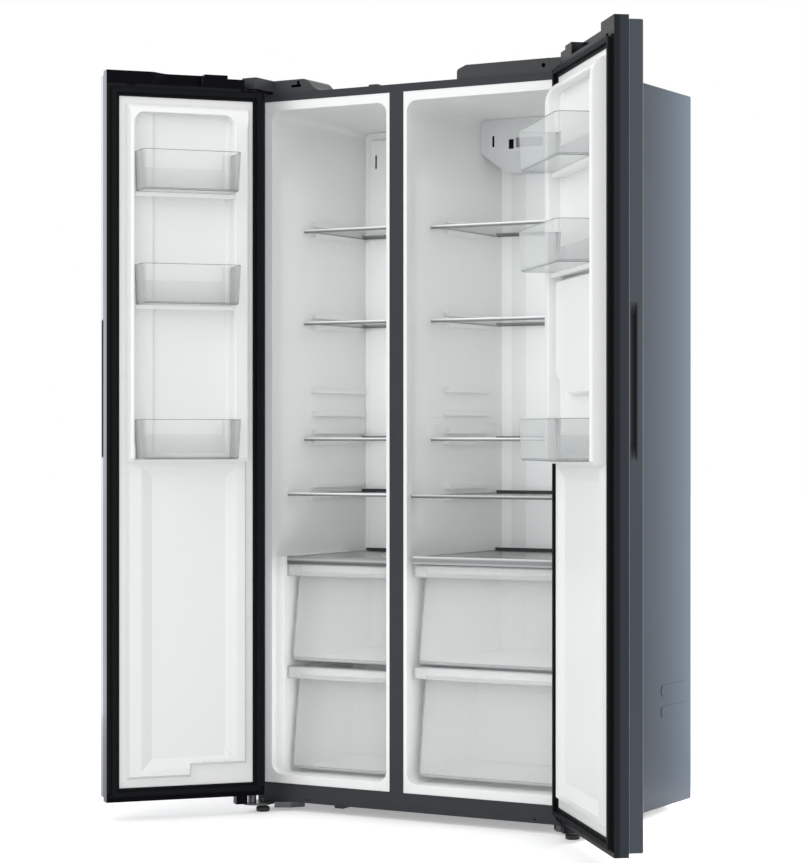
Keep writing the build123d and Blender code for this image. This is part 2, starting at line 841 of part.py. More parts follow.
def make_compressor():
    """Hermetic compressor: drawn pot with a domed lid and a weld seam, base plate on four rubber feet, relay
    box and stub pipe."""
    r = compressor_radius
    top = compressor_height
    seam = compressor_seam_height
    wall = Polyline((0, 0), (r - compressor_base_bevel, 0), (r, compressor_base_bevel), (r, seam),
                    (r + compressor_seam, seam), (r + compressor_seam, seam + 2 * compressor_seam),
                    (r, seam + 2 * compressor_seam), (r, top - compressor_dome))
    dome = RadiusArc((r, top - compressor_dome), (r - compressor_dome, top), -compressor_dome)
    lid = Polyline((r - compressor_dome, top), (0, top), (0, 0))
    pot = revolve(make_face(Plane.XZ * (wall + dome + lid)), Axis.Z)
    half_width = compressor_plate_width / 2
    half_depth = compressor_plate_depth / 2
    plate_low = -2 * compressor_plate
    pot += rod(0, 0, plate_low, 1, pedestal_radius)
    pot += block(-half_width, half_width, -half_depth, half_depth, plate_low, plate_low + compressor_plate)
    for sx in (-1, 1):
        for sy in (-1, 1):
            pot += rod(sx * (half_width - compressor_leg_inset), sy * (half_depth - compressor_leg_inset),
                       set_gap - compressor_lift, plate_low, compressor_leg_radius)
    pot += block(-r - relay_width + wall_bite, -r + wall_bite, -relay_depth / 2, relay_depth / 2, relay_base,
                 relay_base + relay_height)
    pot += bar(r - wall_bite, r + pipe_length, pipe_offset, relay_base, pipe_radius)
    return Pos(half - compressor_from_side, machine_middle, base_sheet + compressor_lift) * pot


def make_condenser():
    """Flat tube and plate condenser with the fan shroud, the motor on its arm and the fan shaft."""
    x0 = -half + condenser_from_side
    x1 = x0 + condenser_width
    y = machine_middle
    foot = base_sheet + set_gap
    side = condenser_depth / 2
    top = machine_room_height - condenser_headroom
    shape = block(x0, x0 + condenser_plate, y - side, y + side, foot, top)
    for x in ((x0 + x1) / 2, x1 - condenser_plate):
        shape += block(x, x + condenser_plate, y - side, y + side, foot, top)
    for row in range(tube_rows):
        z = tube_first_row + tube_row_pitch * row
        for column in tube_columns:
            shape += block(x0 - tube_overhang, x1 + tube_overhang, y + column - tube_depth / 2,
                           y + column + tube_depth / 2, z - tube_height / 2, z + tube_height / 2)
    fan_x = x1 + fan_from_condenser
    shroud_x = fan_x - shroud_setback
    width = shroud_width / 2
    shroud = block(shroud_x - condenser_plate, shroud_x, y - width, y + width, foot,
                   machine_room_height - shroud_headroom)
    mouth = bar(shroud_x - condenser_plate - 1, shroud_x + 1, y, fan_height, fan_radius + fan_ring_gap)
    shape += shroud - mouth
    shape += block(shroud_x - condenser_plate, shroud_x, y - width, y + width, fan_height - motor_arm / 2,
                   fan_height + motor_arm / 2)
    shape += bar(shroud_x - motor_length / 2, shroud_x + motor_length / 2, y, fan_height, motor_radius)
    shape += bar(shroud_x, fan_x + fan_hub_length, y, fan_height, fan_shaft)
    shape += block(x1 - condenser_plate, shroud_x, y - width, y + width, foot, foot + condenser_plate)
    return shape


def blade_wheel(radius, hub_radius, hub_length, pitch):
    """Axial fan about Z: a bored hub with pitched blades that have a broad root and a slim tip."""
    wheel = Cylinder(hub_radius, hub_length)
    half_blade = blade_thickness / 2
    root = hub_radius - half_blade
    lead = block(root, radius + 1, -half_blade, half_blade, -hub_length, hub_length)
    chord = radius * blade_chord_share
    trail = block(root, radius * blade_length_share, -chord, chord, -half_blade, half_blade)
    blade = (Rot(pitch, 0, 0) * lead + Rot(pitch, 0, 0) * trail) & Cylinder(radius, hub_length)
    for i in range(blade_count):
        wheel += Rot(0, 0, 360 * i / blade_count) * blade
    return wheel - Cylinder(fan_shaft + hinge_running_clearance, hub_length + 2)


def make_condenser_fan():
    """Fan behind the condenser, on the motor's shaft."""
    wheel = blade_wheel(fan_radius, fan_hub_radius, fan_hub_length, fan_pitch)
    x = -half + condenser_from_side + condenser_width + fan_from_condenser
    return Pos(x, machine_middle, fan_height) * Rot(0, 90, 0) * wheel


# ---------------------------------------------------------------- evaporator side
def make_evaporator():
    """Finned block with square return bends at both ends."""
    x = sum(freezer_x) / 2
    y1 = along(sheet + freezer_depth - liner_wall - set_gap)
    y0 = y1 - evaporator_depth
    z0 = step_top + evaporator_rise
    z1 = z0 + evaporator_height
    side = evaporator_width / 2
    shape = block(x - side, x + side, y0, y1, z0, z1)
    for i in range(fin_count):
        middle = x + (i - (fin_count - 1) / 2) * fin_pitch
        shape -= block(middle - fin_slot / 2, middle + fin_slot / 2, y0 - 1, y0 + fin_slot_depth,
                       z0 - 1, z1 + 1)
    tube = 2 * bend_tube
    loop = Cylinder(bend_radius + bend_tube, tube) - Cylinder(bend_radius - bend_tube, tube + 1)
    bend = loop & block(0, 2 * bend_radius, -2 * bend_radius, 2 * bend_radius, -tube, tube)
    for end in (-1, 1):
        turned = Rot(0, 0, 0 if end > 0 else 180) * bend
        for i in range(bend_count):
            z = z0 + bend_first + bend_pitch * i
            shape += Pos(x + end * side, y0 + bend_setback, z) * Rot(90, 0, 0) * turned
    return shape


def make_evaporator_cover():
    """Raised back panel of the freezer that follows the drafted walls, with air slots and the fan's boss."""
    x0, x1 = freezer_x
    y0 = along(evaporator_cover_front)
    y1 = along(sheet + freezer_depth - liner_wall - set_gap)
    z0 = step_top + liner_wall + cover_fit
    outer_inset = liner_wall + cover_fit
    outer = cavity(freezer_x, freezer_depth + liner_corner, outer_inset)
    inner = cavity(freezer_x, freezer_depth + liner_corner, outer_inset + cover_panel)
    shape = block(x0, x1, y0, y1, z0, mouth_top) & outer
    shape -= block(x0, x1, y0 + cover_panel, y1 + 1, z0 + cover_panel, mouth_top) & inner
    border = wall_offset(evaporator_cover_front) + panel_border
    raised = panel(x0 + border, x1 - border, z0 + panel_border, mouth_top - border, y0, panel_corner)
    shape += extrude(raised, amount=panel_raise, taper=panel_slope)
    x = (x0 + x1) / 2
    depths = (y0 - panel_raise - 1, y0 + cover_panel + 1)
    for side in (-1, 1):
        middle = x + side * air_slot_spread
        shape -= block(middle - air_slot_width / 2, middle + air_slot_width / 2, *depths,
                       mouth_top - air_slot_drops[0], mouth_top - air_slot_drops[1])
    fan_z = step_top + evaporator_fan_rise
    for i in range(intake_slot_count):
        z = fan_z + intake_slot_rise + intake_slot_pitch * i
        shape -= block(x - intake_slot_width / 2, x + intake_slot_width / 2, *depths, z - air_slot_width / 2,
                       z + air_slot_width / 2)
    boss_y = y0 + cover_panel
    shape += spindle(x, boss_y - 1, boss_y + fan_boss_length, fan_z, fan_boss_radius)
    shape += spindle(x, boss_y, boss_y + fan_boss_length + fan_shaft_length, fan_z, fan_shaft)
    return shape


def make_evaporator_fan():
    """Fan behind the freezer's back panel, on the boss's shaft."""
    wheel = blade_wheel(evaporator_fan_radius, evaporator_hub_radius, evaporator_hub_length,
                        evaporator_fan_pitch)
    y = along(evaporator_cover_front + cover_panel + fan_boss_length + set_gap + evaporator_hub_length / 2)
    return Pos(sum(freezer_x) / 2, y, step_top + evaporator_fan_rise) * Rot(90, 0, 0) * wheel


# ---------------------------------------------------------------- air duct and lamp housing
def make_air_duct():
    """Bevelled air duct up the back wall of the refrigerator compartment, with a vent below each shelf."""
    y1 = along(sheet + fridge_depth - liner_wall - set_gap)
    y0 = along(duct_front)
    x0 = fridge_x[0] + wall_offset(fridge_depth) + duct_side
    x1 = fridge_x[1] - wall_offset(fridge_depth) - duct_side
    z0 = step_top + duct_foot
    z1 = lamp_bottom - set_gap
    shape = prism_z(((x0, y1), (x0 + duct_bevel, y0), (x1 - duct_bevel, y0), (x1, y1)), z0, z1)
    room = ((x0 + duct_rear_wall, y1 + 1), (x0 + duct_bevel + 1, y0 + duct_wall),
            (x1 - duct_bevel - 1, y0 + duct_wall), (x1 - duct_rear_wall, y1 + 1))
    shape -= prism_z(room, z0 + duct_wall, z1 + 1)
    middle = (x0 + x1) / 2
    for top in fridge_shelf_tops[:3]:
        shape -= block(middle - vent_width / 2, middle + vent_width / 2, y0 - 1, y0 + duct_wall + 1,
                       top - vent_drop, top - vent_drop + vent_height)
    return shape


def lamp_form(wall, x0, x1):
    """Solid form of the lamp housing between two X values, drawn in by a wall."""
    y0 = along(lamp_front) + wall
    y1 = along(sheet + fridge_depth - liner_wall - set_gap)
    low = lamp_bottom + wall
    outline = ((y0, mouth_top), (y0, mouth_top - lamp_bevel_drop + wall / 2), (y0 + lamp_bevel_run, low),
               (y1, low), (y1, mouth_top))
    inset = liner_wall + cover_fit + wall
    return prism_x(outline, x0, x1) & cavity(fridge_x, fridge_depth + liner_corner, inset)


def front_slot(from_side, width, drop, height):
    """Cutter through the lamp housing's front wall, placed from the centre wall and the mouth's top."""
    x = fridge_x[0] + from_side
    y = along(lamp_front)
    return block(x, x + width, y - 1, y + lamp_wall + 1, mouth_top - drop - height, mouth_top - drop)


def make_lamp_housing():
    """Housing of the lamp and the air flap under the refrigerator's ceiling, with bevelled lower corners."""
    shape = lamp_form(0, *fridge_x)
    deep = (along(lamp_front) - 1, back)
    low = lamp_bottom - 1
    corners = []
    for x, side in ((fridge_x[0], 1), (fridge_x[1], -1)):
        wall = x + side * wall_offset(fridge_depth)
        corner = wall + side * lamp_corner
        corners.append(corner)
        shape -= prism_y(((x, low), (corner, low), (wall, low + lamp_corner), (x, low + lamp_corner)), *deep)
    shape -= lamp_form(lamp_wall, *corners)
    shape -= front_slot(lens_from_side, lens_width, lens_drop, lens_height)
    shape -= front_slot(lamp_slot_from_side, lamp_slot_width, lamp_slot_drop, lamp_slot_height)
    shape -= front_slot(lamp_button_from_side, lamp_button_width, lamp_button_drop, lamp_button_height)
    return shape


def make_lamp_lens():
    """Clear lens set into the lamp housing's front wall."""
    x = fridge_x[0] + lens_from_side
    y = along(lamp_front)
    z = mouth_top - lens_drop
    return block(x + set_gap, x + lens_width - set_gap, y + 0.5, y + lamp_wall, z - lens_height + set_gap,
                 z - set_gap)


# ---------------------------------------------------------------- hinges and feet
def at_side(shape, side):
    """Place a piece drawn with x from the cabinet's side and y from its front face."""
    if side > 0:
        shape = mirror(shape, about=Plane.YZ)
    return Pos(side * half, front, 0) * shape


def make_upper_hinges():
    """Steel plate on the cabinet top with the pin that hangs into the door cap."""
    x, y = hinge_from_side, -hinge_from_face
    edge = hinge_from_side - upper_arm_half
    plate = block(edge, x + upper_arm_half, y, upper_arm_end, 0, hinge_plate)
    plate += rod(x, y, 0, hinge_plate, upper_arm_half)
    plate += block(edge, edge + upper_foot_width, upper_foot_start, upper_foot_end, 0, hinge_plate)
    for sx, sy in upper_screws:
        plate -= rod(sx, sy, -1, hinge_plate + 1, screw_hole)
    plate += rod(x, y, -upper_pin_length, 1, hinge_pin_radius)
    return Compound(children=[at_side(Pos(0, 0, cabinet_height) * plate, side) for side in (-1, 1)])


def make_lower_hinges():
    """Plate under the front rail with a folded lip, a collared pin for the door and the foot's hole."""
    left = rail_sheet
    root = (lower_arm_width, -lower_arm_root)
    foot = (lower_foot_width, 0)
    end = (lower_foot_end_width, lower_foot_depth)
    outline = ((left, -lower_nose), (lower_nose_width, -lower_nose), (lower_arm_width, -lower_arm_shoulder),
               root, foot, end, (left, lower_foot_depth))
    plate = prism_z(outline, -hinge_plate, 0)
    plate = chamfer(plate.edges().filter_by(Axis.Z).group_by(Axis.Y)[0], lower_corner)
    lip = (root, foot, end, (end[0] - lower_lip, end[1]), (foot[0] - lower_lip, lower_lip),
           (root[0], root[1] + lower_lip))
    plate += prism_z(lip, -hinge_plate - lower_lip_drop, -hinge_plate)
    x, y = hinge_from_side, -hinge_from_face
    plate += rod(x, y, -1, door_bottom - collar_clearance, collar_radius)
    plate += rod(x, y, -1, door_bottom + lower_pin_length, hinge_pin_radius)
    plate -= rod(foot_from_side, -foot_from_face, -2 * hinge_plate, 1, foot_stem_radius + stem_clearance)
    for sx, sy in lower_screws:
        plate -= rod(sx, sy, -2 * hinge_plate, 1, screw_hole)
    return Compound(children=[at_side(plate, side) for side in (-1, 1)])


def make_foot(side):
    """Levelling foot: rubber pad, hexagonal grip and stem."""
    low = -floor_gap
    top = low + foot_pad_height
    pad = rod(0, 0, low, top, foot_radius)
    pad = chamfer(pad.edges().filter_by(GeomType.CIRCLE), foot_chamfer)
    nut = extrude(RegularPolygon(foot_nut, 6), amount=-hinge_plate - foot_nut_gap - top)
    stem = rod(0, 0, top - 1, foot_stem_top, foot_stem_radius)
    return at_side(Pos(foot_from_side, -foot_from_face, 0) * (pad + Pos(0, 0, top) * nut + stem), side)


def screw():
    """Hexagon head screw standing on z = 0 with its shank below."""
    head = extrude(RegularPolygon(screw_head, 6), amount=screw_head_height)
    return head + rod(0, 0, -screw_reach, 0, screw_shank)


def make_screws():
    """Screws of all four hinges."""
    pieces = []
    for side in (-1, 1):
        for x, y in upper_screws:
            pieces.append(at_side(Pos(x, y, cabinet_height + hinge_plate) * screw(), side))
        for x, y in lower_screws:
            pieces.append(at_side(Pos(x, y, -hinge_plate) * Rot(180, 0, 0) * screw(), side))
    return Compound(children=pieces)


# ---------------------------------------------------------------- covers on the cabinet top
def hood(inset):
    """Square hood over the hinge arm and its pin, cut flush with the cabinet's side."""
    x1 = hinge_from_side + hood_side - inset
    y0 = -hinge_from_face - hood_reach + inset
    low = hinge_plate + hood_clearance if inset == 0 else -1
    shape = block(cover_side_gap + inset, x1, y0, hood_end, low, cover_top - inset)
    return fillet(shape.edges().filter_by(Axis.Z).group_by(Axis.Y)[0], hood_corner - inset)


def ogee_cover(inset):
    """Left hinge cover: a flat crown that falls in an ogee to the cabinet top."""
    top = cover_top - inset
    shoulder = (hinge_cover_shoulder, top)
    end = (hinge_cover_left_width - inset, hinge_cover_edge)
    knee = ((shoulder[0] + end[0]) / 2, top * hinge_cover_knee)
    x0 = cover_side_gap + inset
    base = -1 if inset else 0
    crown = Polyline(end, (end[0], base), (x0, base), (x0, top), shoulder)
    fall = Spline(shoulder, knee, end, tangents=((1, 0), (1, -hinge_cover_end_slope)))
    depth = hinge_cover_depth - 2 * inset
    solid = extrude(make_face(Plane.XZ * (crown + fall)), amount=depth, dir=(0, 1, 0))
    return Pos(0, cover_setback + inset, 0) * solid


def box_cover(x0, x1, depth, inset):
    """Plain cover between two X values, chamfered along its front and rear upper edges."""
    y0 = cover_setback + inset
    base = -1 if inset else 0
    shape = block(x0 + inset, x1 - inset, y0, cover_setback + depth - inset, base, cover_top - inset)
    return shape if inset else chamfer(shape.edges().filter_by(Axis.X).group_by(Axis.Z)[-1], cover_wall - 0.5)


def make_hinge_covers():
    """Moulded covers over both upper hinges, each with its hood over the pin."""
    left = ogee_cover(0) - ogee_cover(cover_wall)
    right = box_cover(cover_side_gap, hinge_cover_right_width, hinge_cover_depth, 0)
    right -= box_cover(cover_side_gap, hinge_cover_right_width, hinge_cover_depth, cover_wall)
    left += hood(0)
    left -= hood(cover_wall)
    right += hood(0)
    right -= hood(cover_wall)
    depths = (cover_setback - 1, cover_setback + cover_wall + 1)
    x = hook_slot_x
    left -= block(x, x + hook_slot_width, *depths, hook_low, hook_low + hook_slot_height)
    left -= block(x + hook_slot_width - hook_bar_width, x + hook_slot_width + 4, *depths, hook_low,
                  hook_low + hook_bar_height)
    raised = Pos(0, 0, cabinet_height)
    return Compound(children=[at_side(raised * left, -1), at_side(raised * right, 1)])


def make_board_cover():
    """Long cover over the control board, and the plug that closes the foam filling hole beside it."""
    x1 = half - hinge_cover_right_width - set_gap
    x0 = x1 - board_cover_width
    z0 = cabinet_height
    y0 = along(cover_setback)
    y1 = y0 + board_cover_depth
    edge = z0 + board_cover_edge
    shoulder = x0 + board_cover_bevel
    top = z0 + cover_top
    shape = prism_y(((x0, z0), (x0, edge), (shoulder, top), (x1, top), (x1, z0)), y0, y1)
    shape = fillet(shape.edges().filter_by(Axis.Y).sort_by(Axis.X)[1:3], board_cover_corner)
    w = cover_wall
    room = ((x0 + w, z0 - 1), (x0 + w, edge - w), (shoulder + w, top - w), (x1 - w, top - w),
            (x1 - w, z0 - 1))
    shape -= prism_y(room, y0 + w, y1 - w)
    shape -= spindle(x1 - board_hole_from_side, y0 - 1, y0 + w + 1, z0 + board_hole_height, board_hole_radius)
    left = -half + plug_from_side
    foot = along(plug_setback)
    right = left + plug_width
    crown = z0 + plug_height
    outline = ((left, z0), (left + plug_bevel, crown), (right - plug_bevel, crown), (right, z0))
    plug = prism_y(outline, foot, foot + plug_depth)
    return Compound(children=[shape, plug])


def make_control_board():
    """Circuit board on four posts under its cover, with its larger components as blocks."""
    x1 = half - hinge_cover_right_width - board_gap
    x0 = x1 - board_width
    y0 = along(board_setback)
    z0 = cabinet_height
    face = z0 + board_lift + board_thickness
    shape = block(x0, x1, y0, y0 + board_depth, z0 + board_lift, face)
    for x in (x0 + board_post_inset, x1 - board_post_inset):
        for y in (y0 + board_post_inset, y0 + board_depth - board_post_inset):
            shape += rod(x, y, z0, face - board_thickness / 2, board_post_radius)
    for dx, dy, width, depth, height in board_pieces:
        shape += block(x0 + dx, x0 + dx + width, y0 + dy, y0 + dy + depth, face - board_thickness / 2,
                       face + height)
    return shape


# ---------------------------------------------------------------- doors, drawn closed from the hinge edge
def in_door(shape, side):
    """Move a piece from the closed door's own frame to its place in the rest pose."""
    if side > 0:
        shape = mirror(shape, about=Plane.YZ)
    x = side * (half - hinge_from_side)
    y = front - hinge_from_face
    opened = Pos(x, y, 0) * Rot(0, 0, side * door_rest_angle) * Pos(-x, -y, 0)
    return opened * Pos(side * half, door_plane, 0) * shape


def skin_block(width):
    """The flat flange of the inner liner, whose rim lies hidden under the seal."""
    inset = gasket_inset + skin_tuck
    return block(inset, width - inset, -door_liner_wall, 0, door_bottom + gasket_bottom_inset + skin_tuck,
                 cabinet_height - gasket_top_inset - skin_tuck)


def dike_form(width, wall):
    """The deep upper frame of the door liner: rounded crest, sloping flanks and a long round at the top."""
    base = -door_liner_wall if wall else 0.0
    x0 = dike_hinge_inset + wall
    x1 = width - dike_free_inset - wall
    crest = dike_height - wall
    low = dike_bottom + wall
    top = dike_top - wall
    turn = top - dike_round
    soft = crest_round - wall
    foot = Polyline((0, top), (base, top), (base, low), (crest - soft, low)) if wall else Polyline(
        (0, top), (0, low), (crest - soft, low))
    corner = RadiusArc((crest - soft, low), (crest, low + soft), soft)
    rise = Line((crest, low + soft), (crest, turn))
    crown = EllipticalCenterArc((0, turn), crest, dike_round, start_angle=0, arc_size=90)
    side_face = make_face(Plane.YZ * (foot + corner + rise + crown))
    form = Pos(x0, 0, 0) * extrude(side_face, amount=x1 - x0, dir=(1, 0, 0))
    plan = make_face(Polyline((x0, base), (x0 + dike_flank, crest), (x1 - dike_flank, crest), (x1, base),
                              close=True))
    plan = fillet(plan.vertices().group_by(Axis.Y)[-1], soft)
    return form & (Pos(0, 0, low - 1) * extrude(plan, amount=top - low + 2))


def plateau_form(width, wall, notched):
    """The low lower field of the door liner, with sloping borders that run up into the dike."""
    inset = wall + plateau_height * tan(radians(plateau_slope))
    x0 = dike_hinge_inset + inset
    x1 = width - dike_free_inset - inset
    low = plateau_bottom + inset
    top = dike_bottom + dike_height
    outline = [(x0, low), (x1, low), (x1, top), (x0, top)]
    if notched:
        outline[0:1] = [(x0, low + notch_height), (notch_width + inset, low + notch_height),
                        (notch_width + inset, low)]
    face = make_face(facing(plateau_height - wall) * Polyline(*outline, close=True))
    depth = plateau_height - wall + (door_liner_wall if wall else 0.0)
    return extrude(face, amount=depth, taper=-plateau_slope)


def recess_form(width, wall, notched):
    """The shallow field sunk into the plateau: wide soft slopes and a straight lower end to its floor."""
    x0 = dike_hinge_inset + plateau_hinge_width - wall
    x1 = width - dike_free_inset - plateau_free_width + wall
    low = plateau_bottom + recess_low_margin - wall
    top = dike_bottom - recess_top_margin + wall
    outline = [(x0, low), (x1, low), (x1, top), (x0, top)]
    step = plateau_bottom + notch_height + recess_notch_margin - wall
    if notched:
        outline[0:1] = [(x0, step), (notch_width - wall, step), (notch_width - wall, low)]
    level = plateau_height - wall
    face = make_face(facing(level) * Polyline(*outline, close=True))
    cut = extrude(face, amount=recess_depth, taper=recess_slope)
    margin = recess_floor_margin
    floor = panel(x0 + margin, x1 - margin, step if notched else low + margin, top - margin, level)
    return cut + extrude(floor, amount=recess_depth, taper=recess_floor_slope)


def pocket_form(width, wall):
    """The pocket that holds the bins: drafted walls, rounded upper corners and a sunk centre."""
    x0 = dike_hinge_inset + dike_hinge_width - wall
    x1 = width - dike_free_inset - dike_free_width + wall
    z0 = dike_bottom + dike_lip - wall
    z1 = dike_top - dike_top_width + wall
    level = dike_height
    face = facing(level) * make_face(Polyline((x0, z0), (x1, z0), (x1, z1), (x0, z1), close=True))
    face = fillet(face.vertices().group_by(Axis.Z)[-1], pocket_corner)
    pocket = extrude(face, amount=level - pocket_level + wall, taper=pocket_draft)
    centre = panel(x0 + centre_hinge_step, x1 - centre_free_step, z0 + centre_hinge_step, z1 + pocket_corner,
                   pocket_level + 1)
    sunk = extrude(centre, amount=pocket_level + 1 - centre_level + wall, taper=centre_slope)
    reach = panel(x0, x1, z0, z1, pocket_level + 1, pocket_corner)
    return pocket + (sunk & extrude(reach, amount=dike_height))


def crest_cut(width):
    """Broken inner edge round the pocket's mouth."""
    x0 = dike_hinge_inset + dike_hinge_width - crest_break
    x1 = width - dike_free_inset - dike_free_width + crest_break
    z1 = dike_top - dike_top_width + crest_break
    z0 = dike_bottom + dike_height
    face = facing(dike_height) * make_face(Polyline((x0, z0), (x1, z0), (x1, z1), (x0, z1), close=True))
    face = fillet(face.vertices().group_by(Axis.Z)[-1], pocket_corner + crest_break)
    return extrude(face, amount=crest_break, taper=45)


def pod_form(width, wall, top):
    """Raised pad between the second and third bins, with soft corners and a sloping lower end."""
    x0 = dike_hinge_inset + dike_hinge_width + pod_side + wall
    x1 = width - dike_free_inset - dike_free_width - pod_side - wall
    z1 = top - pod_drop - wall
    z0 = mouth_bottom + pod_rise + wall
    run = (pod_level - pocket_level) * tan(radians(pod_slope))
    outline = Polyline((x0 + run, z1 - run), (x1 - run, z1 - run), (x1 - run, z0 + run),
                       (x0 + pod_slope_width, z0 + run), (x0 + run, z0 + pod_slope_height), close=True)
    face = facing(pod_level - wall) * make_face(outline)
    face = fillet(face.vertices(), pod_corner - wall)
    drafted = extrude(face, amount=pod_level - pocket_level, taper=-pod_slope)
    foot = panel(x0 + pod_slope_width, x1, z0, z1, pocket_level - wall)
    return drafted + extrude(foot, amount=pocket_level - centre_level + 0.5)


def door_form(width, wall, notched, pod_top):
    """Raised form of the inner liner, drawn in by the wall for the foam behind it."""
    form = dike_form(width, wall) + plateau_form(width, wall, notched)
    form -= pocket_form(width, wall)
    form -= recess_form(width, wall, notched)
    if pod_top:
        form += pod_form(width, wall, pod_top)
    return form


def make_door_liner(width, notched, pod_top, bases):
    """Thermoformed inner skin: flange under the seal, dike, pocket and the ledges under the bins."""
    shape = skin_block(width) + door_form(width, 0.0, notched, pod_top) - crest_cut(width)
    shape -= door_form(width, door_liner_wall, notched, pod_top)
    x0 = dike_hinge_inset + dike_hinge_width
    x1 = width - dike_free_inset - dike_free_width
    c0 = x0 + 2 * centre_hinge_step
    c1 = x1 - centre_free_step - centre_hinge_step
    z0 = dike_bottom + dike_lip
    for base in bases:
        low = max(base - bin_ledge_height, z0 - 1)
        top = base - seat_clearance
        shape += block(x0 - 1, x1 + 1, pocket_level - bin_ledge_sink, bin_ledge_front, low, top)
        if low > z0:
            shape += block(c0, c1, centre_level - bin_ledge_sink, bin_ledge_front, low, top)
    return shape


def make_door_body(width, notched, pod_top):
    """Foam filled door body with its plastic rim, shaped to back the liner all over."""
    shape = block(0, width, -door_body_thickness, 0, body_bottom, cabinet_height)
    shape -= skin_block(width)
    shape += door_form(width, door_liner_wall, notched, pod_top)
    shape -= block(-1, bush_width + bush_shoulder, -door_body_thickness - 1, 1,
                   cabinet_height - bush_recess - bush_depth, cabinet_height + 1)
    slot = width - top_slot_from_free
    shape -= block(slot, slot + top_slot_width, -top_slot_depth, 1, cabinet_height - gasket_top_inset + 0.5,
                   cabinet_height + 1)
    return shape


def make_door_panel(width):
    """Front panel with rounded vertical edges, the grip pocket and the room for both hinge bushes."""
    z0 = door_bottom + panel_end_set_back
    z1 = door_top - panel_end_set_back
    shape = block(0, width, -door_thickness, -door_body_thickness, z0, z1)
    shape = fillet(shape.edges().filter_by(Axis.Z).group_by(Axis.Y)[0], panel_edge_radius)
    shape = chamfer(shape.edges().filter_by(Axis.X).group_by(Axis.Y)[0], panel_end_chamfer)
    shape -= block(width - panel_rebate, width + 1, -door_body_thickness - grip_from_seam,
                   -door_body_thickness + 1, 0, door_top)
    shape -= grip_form(width, 0)
    bush = bush_width + bush_shoulder + set_gap
    recess = cabinet_height - bush_recess
    shape -= block(-1, bush, -bush_front - set_gap, 0, recess - bush_depth - set_gap, door_top)
    shape -= block(-1, bush_width, -door_thickness - 1, 0, recess, door_top)
    shape -= block(-1, bush, -bush_front - set_gap, 0, 0, body_bottom + set_gap)
    return shape


def grip_form(width, wall):
    """The slanted-ended pocket of the grip, drawn in by the wall of its lining."""
    depth = width - grip_depth + wall
    low = grip_bottom + wall
    top = grip_top - wall
    outline = ((width + 1, low), (width, low), (depth, low + grip_end_slope), (depth, top - grip_end_slope),
               (width, top), (width + 1, top))
    y1 = -door_body_thickness - grip_from_seam - wall
    return prism_y(outline, y1 - grip_thickness + 2 * wall, y1)


def make_grip(width):
    """Lining of the grip pocket."""
    lining = grip_form(width, 0) - grip_form(width, grip_wall)
    return lining & block(0, width, -door_thickness, 0, 0, door_top)


def make_gasket(width):
    """Magnetic seal: wide base, narrow neck and magnet bar, run round the door as one frame."""
    x0 = gasket_inset
    x1 = width - gasket_inset
    z0 = door_bottom + gasket_bottom_inset
    z1 = cabinet_height - gasket_top_inset
    crest = gasket_gap - gasket_clearance
    shape = ring(x0, x1, z0, z1, gasket_frame - gasket_inset, 0, gasket_base_height)
    s = gasket_crest_shift + gasket_neck_shift
    neck = gasket_crest_width - 2 * gasket_neck_shift
    shape += ring(x0 + s, x1 - s, z0 + s, z1 - s, neck, 0, crest - gasket_bar_height + 1)
    s = gasket_crest_shift
    return shape + ring(x0 + s, x1 - s, z0 + s, z1 - s, gasket_crest_width, crest - gasket_bar_height, crest)


def make_end_caps(width):
    """Top and bottom end caps with the hinge bushes; the top one is scooped along its inner side."""
    y0 = -door_body_thickness
    z0 = cabinet_height
    bush_top = z0 - bush_recess
    bush_low = bush_top - bush_depth
    shoulder = bush_width + bush_shoulder
    step = bush_width + cap_step
    top = block(step, width, y0, 0, z0, door_top)
    top += block(bush_width, step, y0, 0, z0, door_top - panel_end_set_back)
    top += block(bush_width, shoulder, -bush_front, 0, bush_low, z0)
    top += block(0, bush_width + 1, -bush_front, 0, bush_low, bush_top)
    scoop = y0 + scoop_wall
    blend_start = (width - scoop_free - scoop_blend, scoop)
    blend_end = (width - scoop_free, 1)
    straight = Polyline(blend_end, (scoop_start, 1), (scoop_start, scoop), blend_start)
    blend = Spline(blend_start, blend_end, tangents=((1, 0), (1, scoop_end_slope)))
    top -= Pos(0, 0, z0 + cap_seat) * extrude(make_face(straight + blend), amount=door_rise, dir=(0, 0, 1))
    x, y = hinge_from_side, pivot_y
    bore = hinge_pin_radius + hinge_running_clearance
    top -= rod(x, y, z0 - upper_pin_length - 2, z0, bore)
    low = block(0, width, y0, 0, door_bottom, body_bottom)
    low += block(0, shoulder, -bush_front, y0 + 1, door_bottom + panel_end_set_back, body_bottom)
    low += rod(x, y, door_bottom, door_bottom + panel_end_set_back + 1, bush_boss_radius)
    low += block(cam_start, cam_start + cam_width, -cam_setback - cam_depth, -cam_setback,
                 door_bottom - cam_drop, door_bottom + 1)
    low -= rod(x, y, door_bottom - 1, door_bottom + lower_pin_length + 1, bore)
    return Compound(children=[top - skin_block(width), low - skin_block(width)])


def bin_outline(width, depth, inset):
    """Top view of a bin: square back corners and round front corners."""
    w = width / 2 - inset
    d = depth / 2 - inset
    face = make_face(Polyline((-w, -d), (w, -d), (w, d), (-w, d), close=True))
    return fillet(face.vertices().group_by(Axis.Y)[-1], bin_corner - inset)


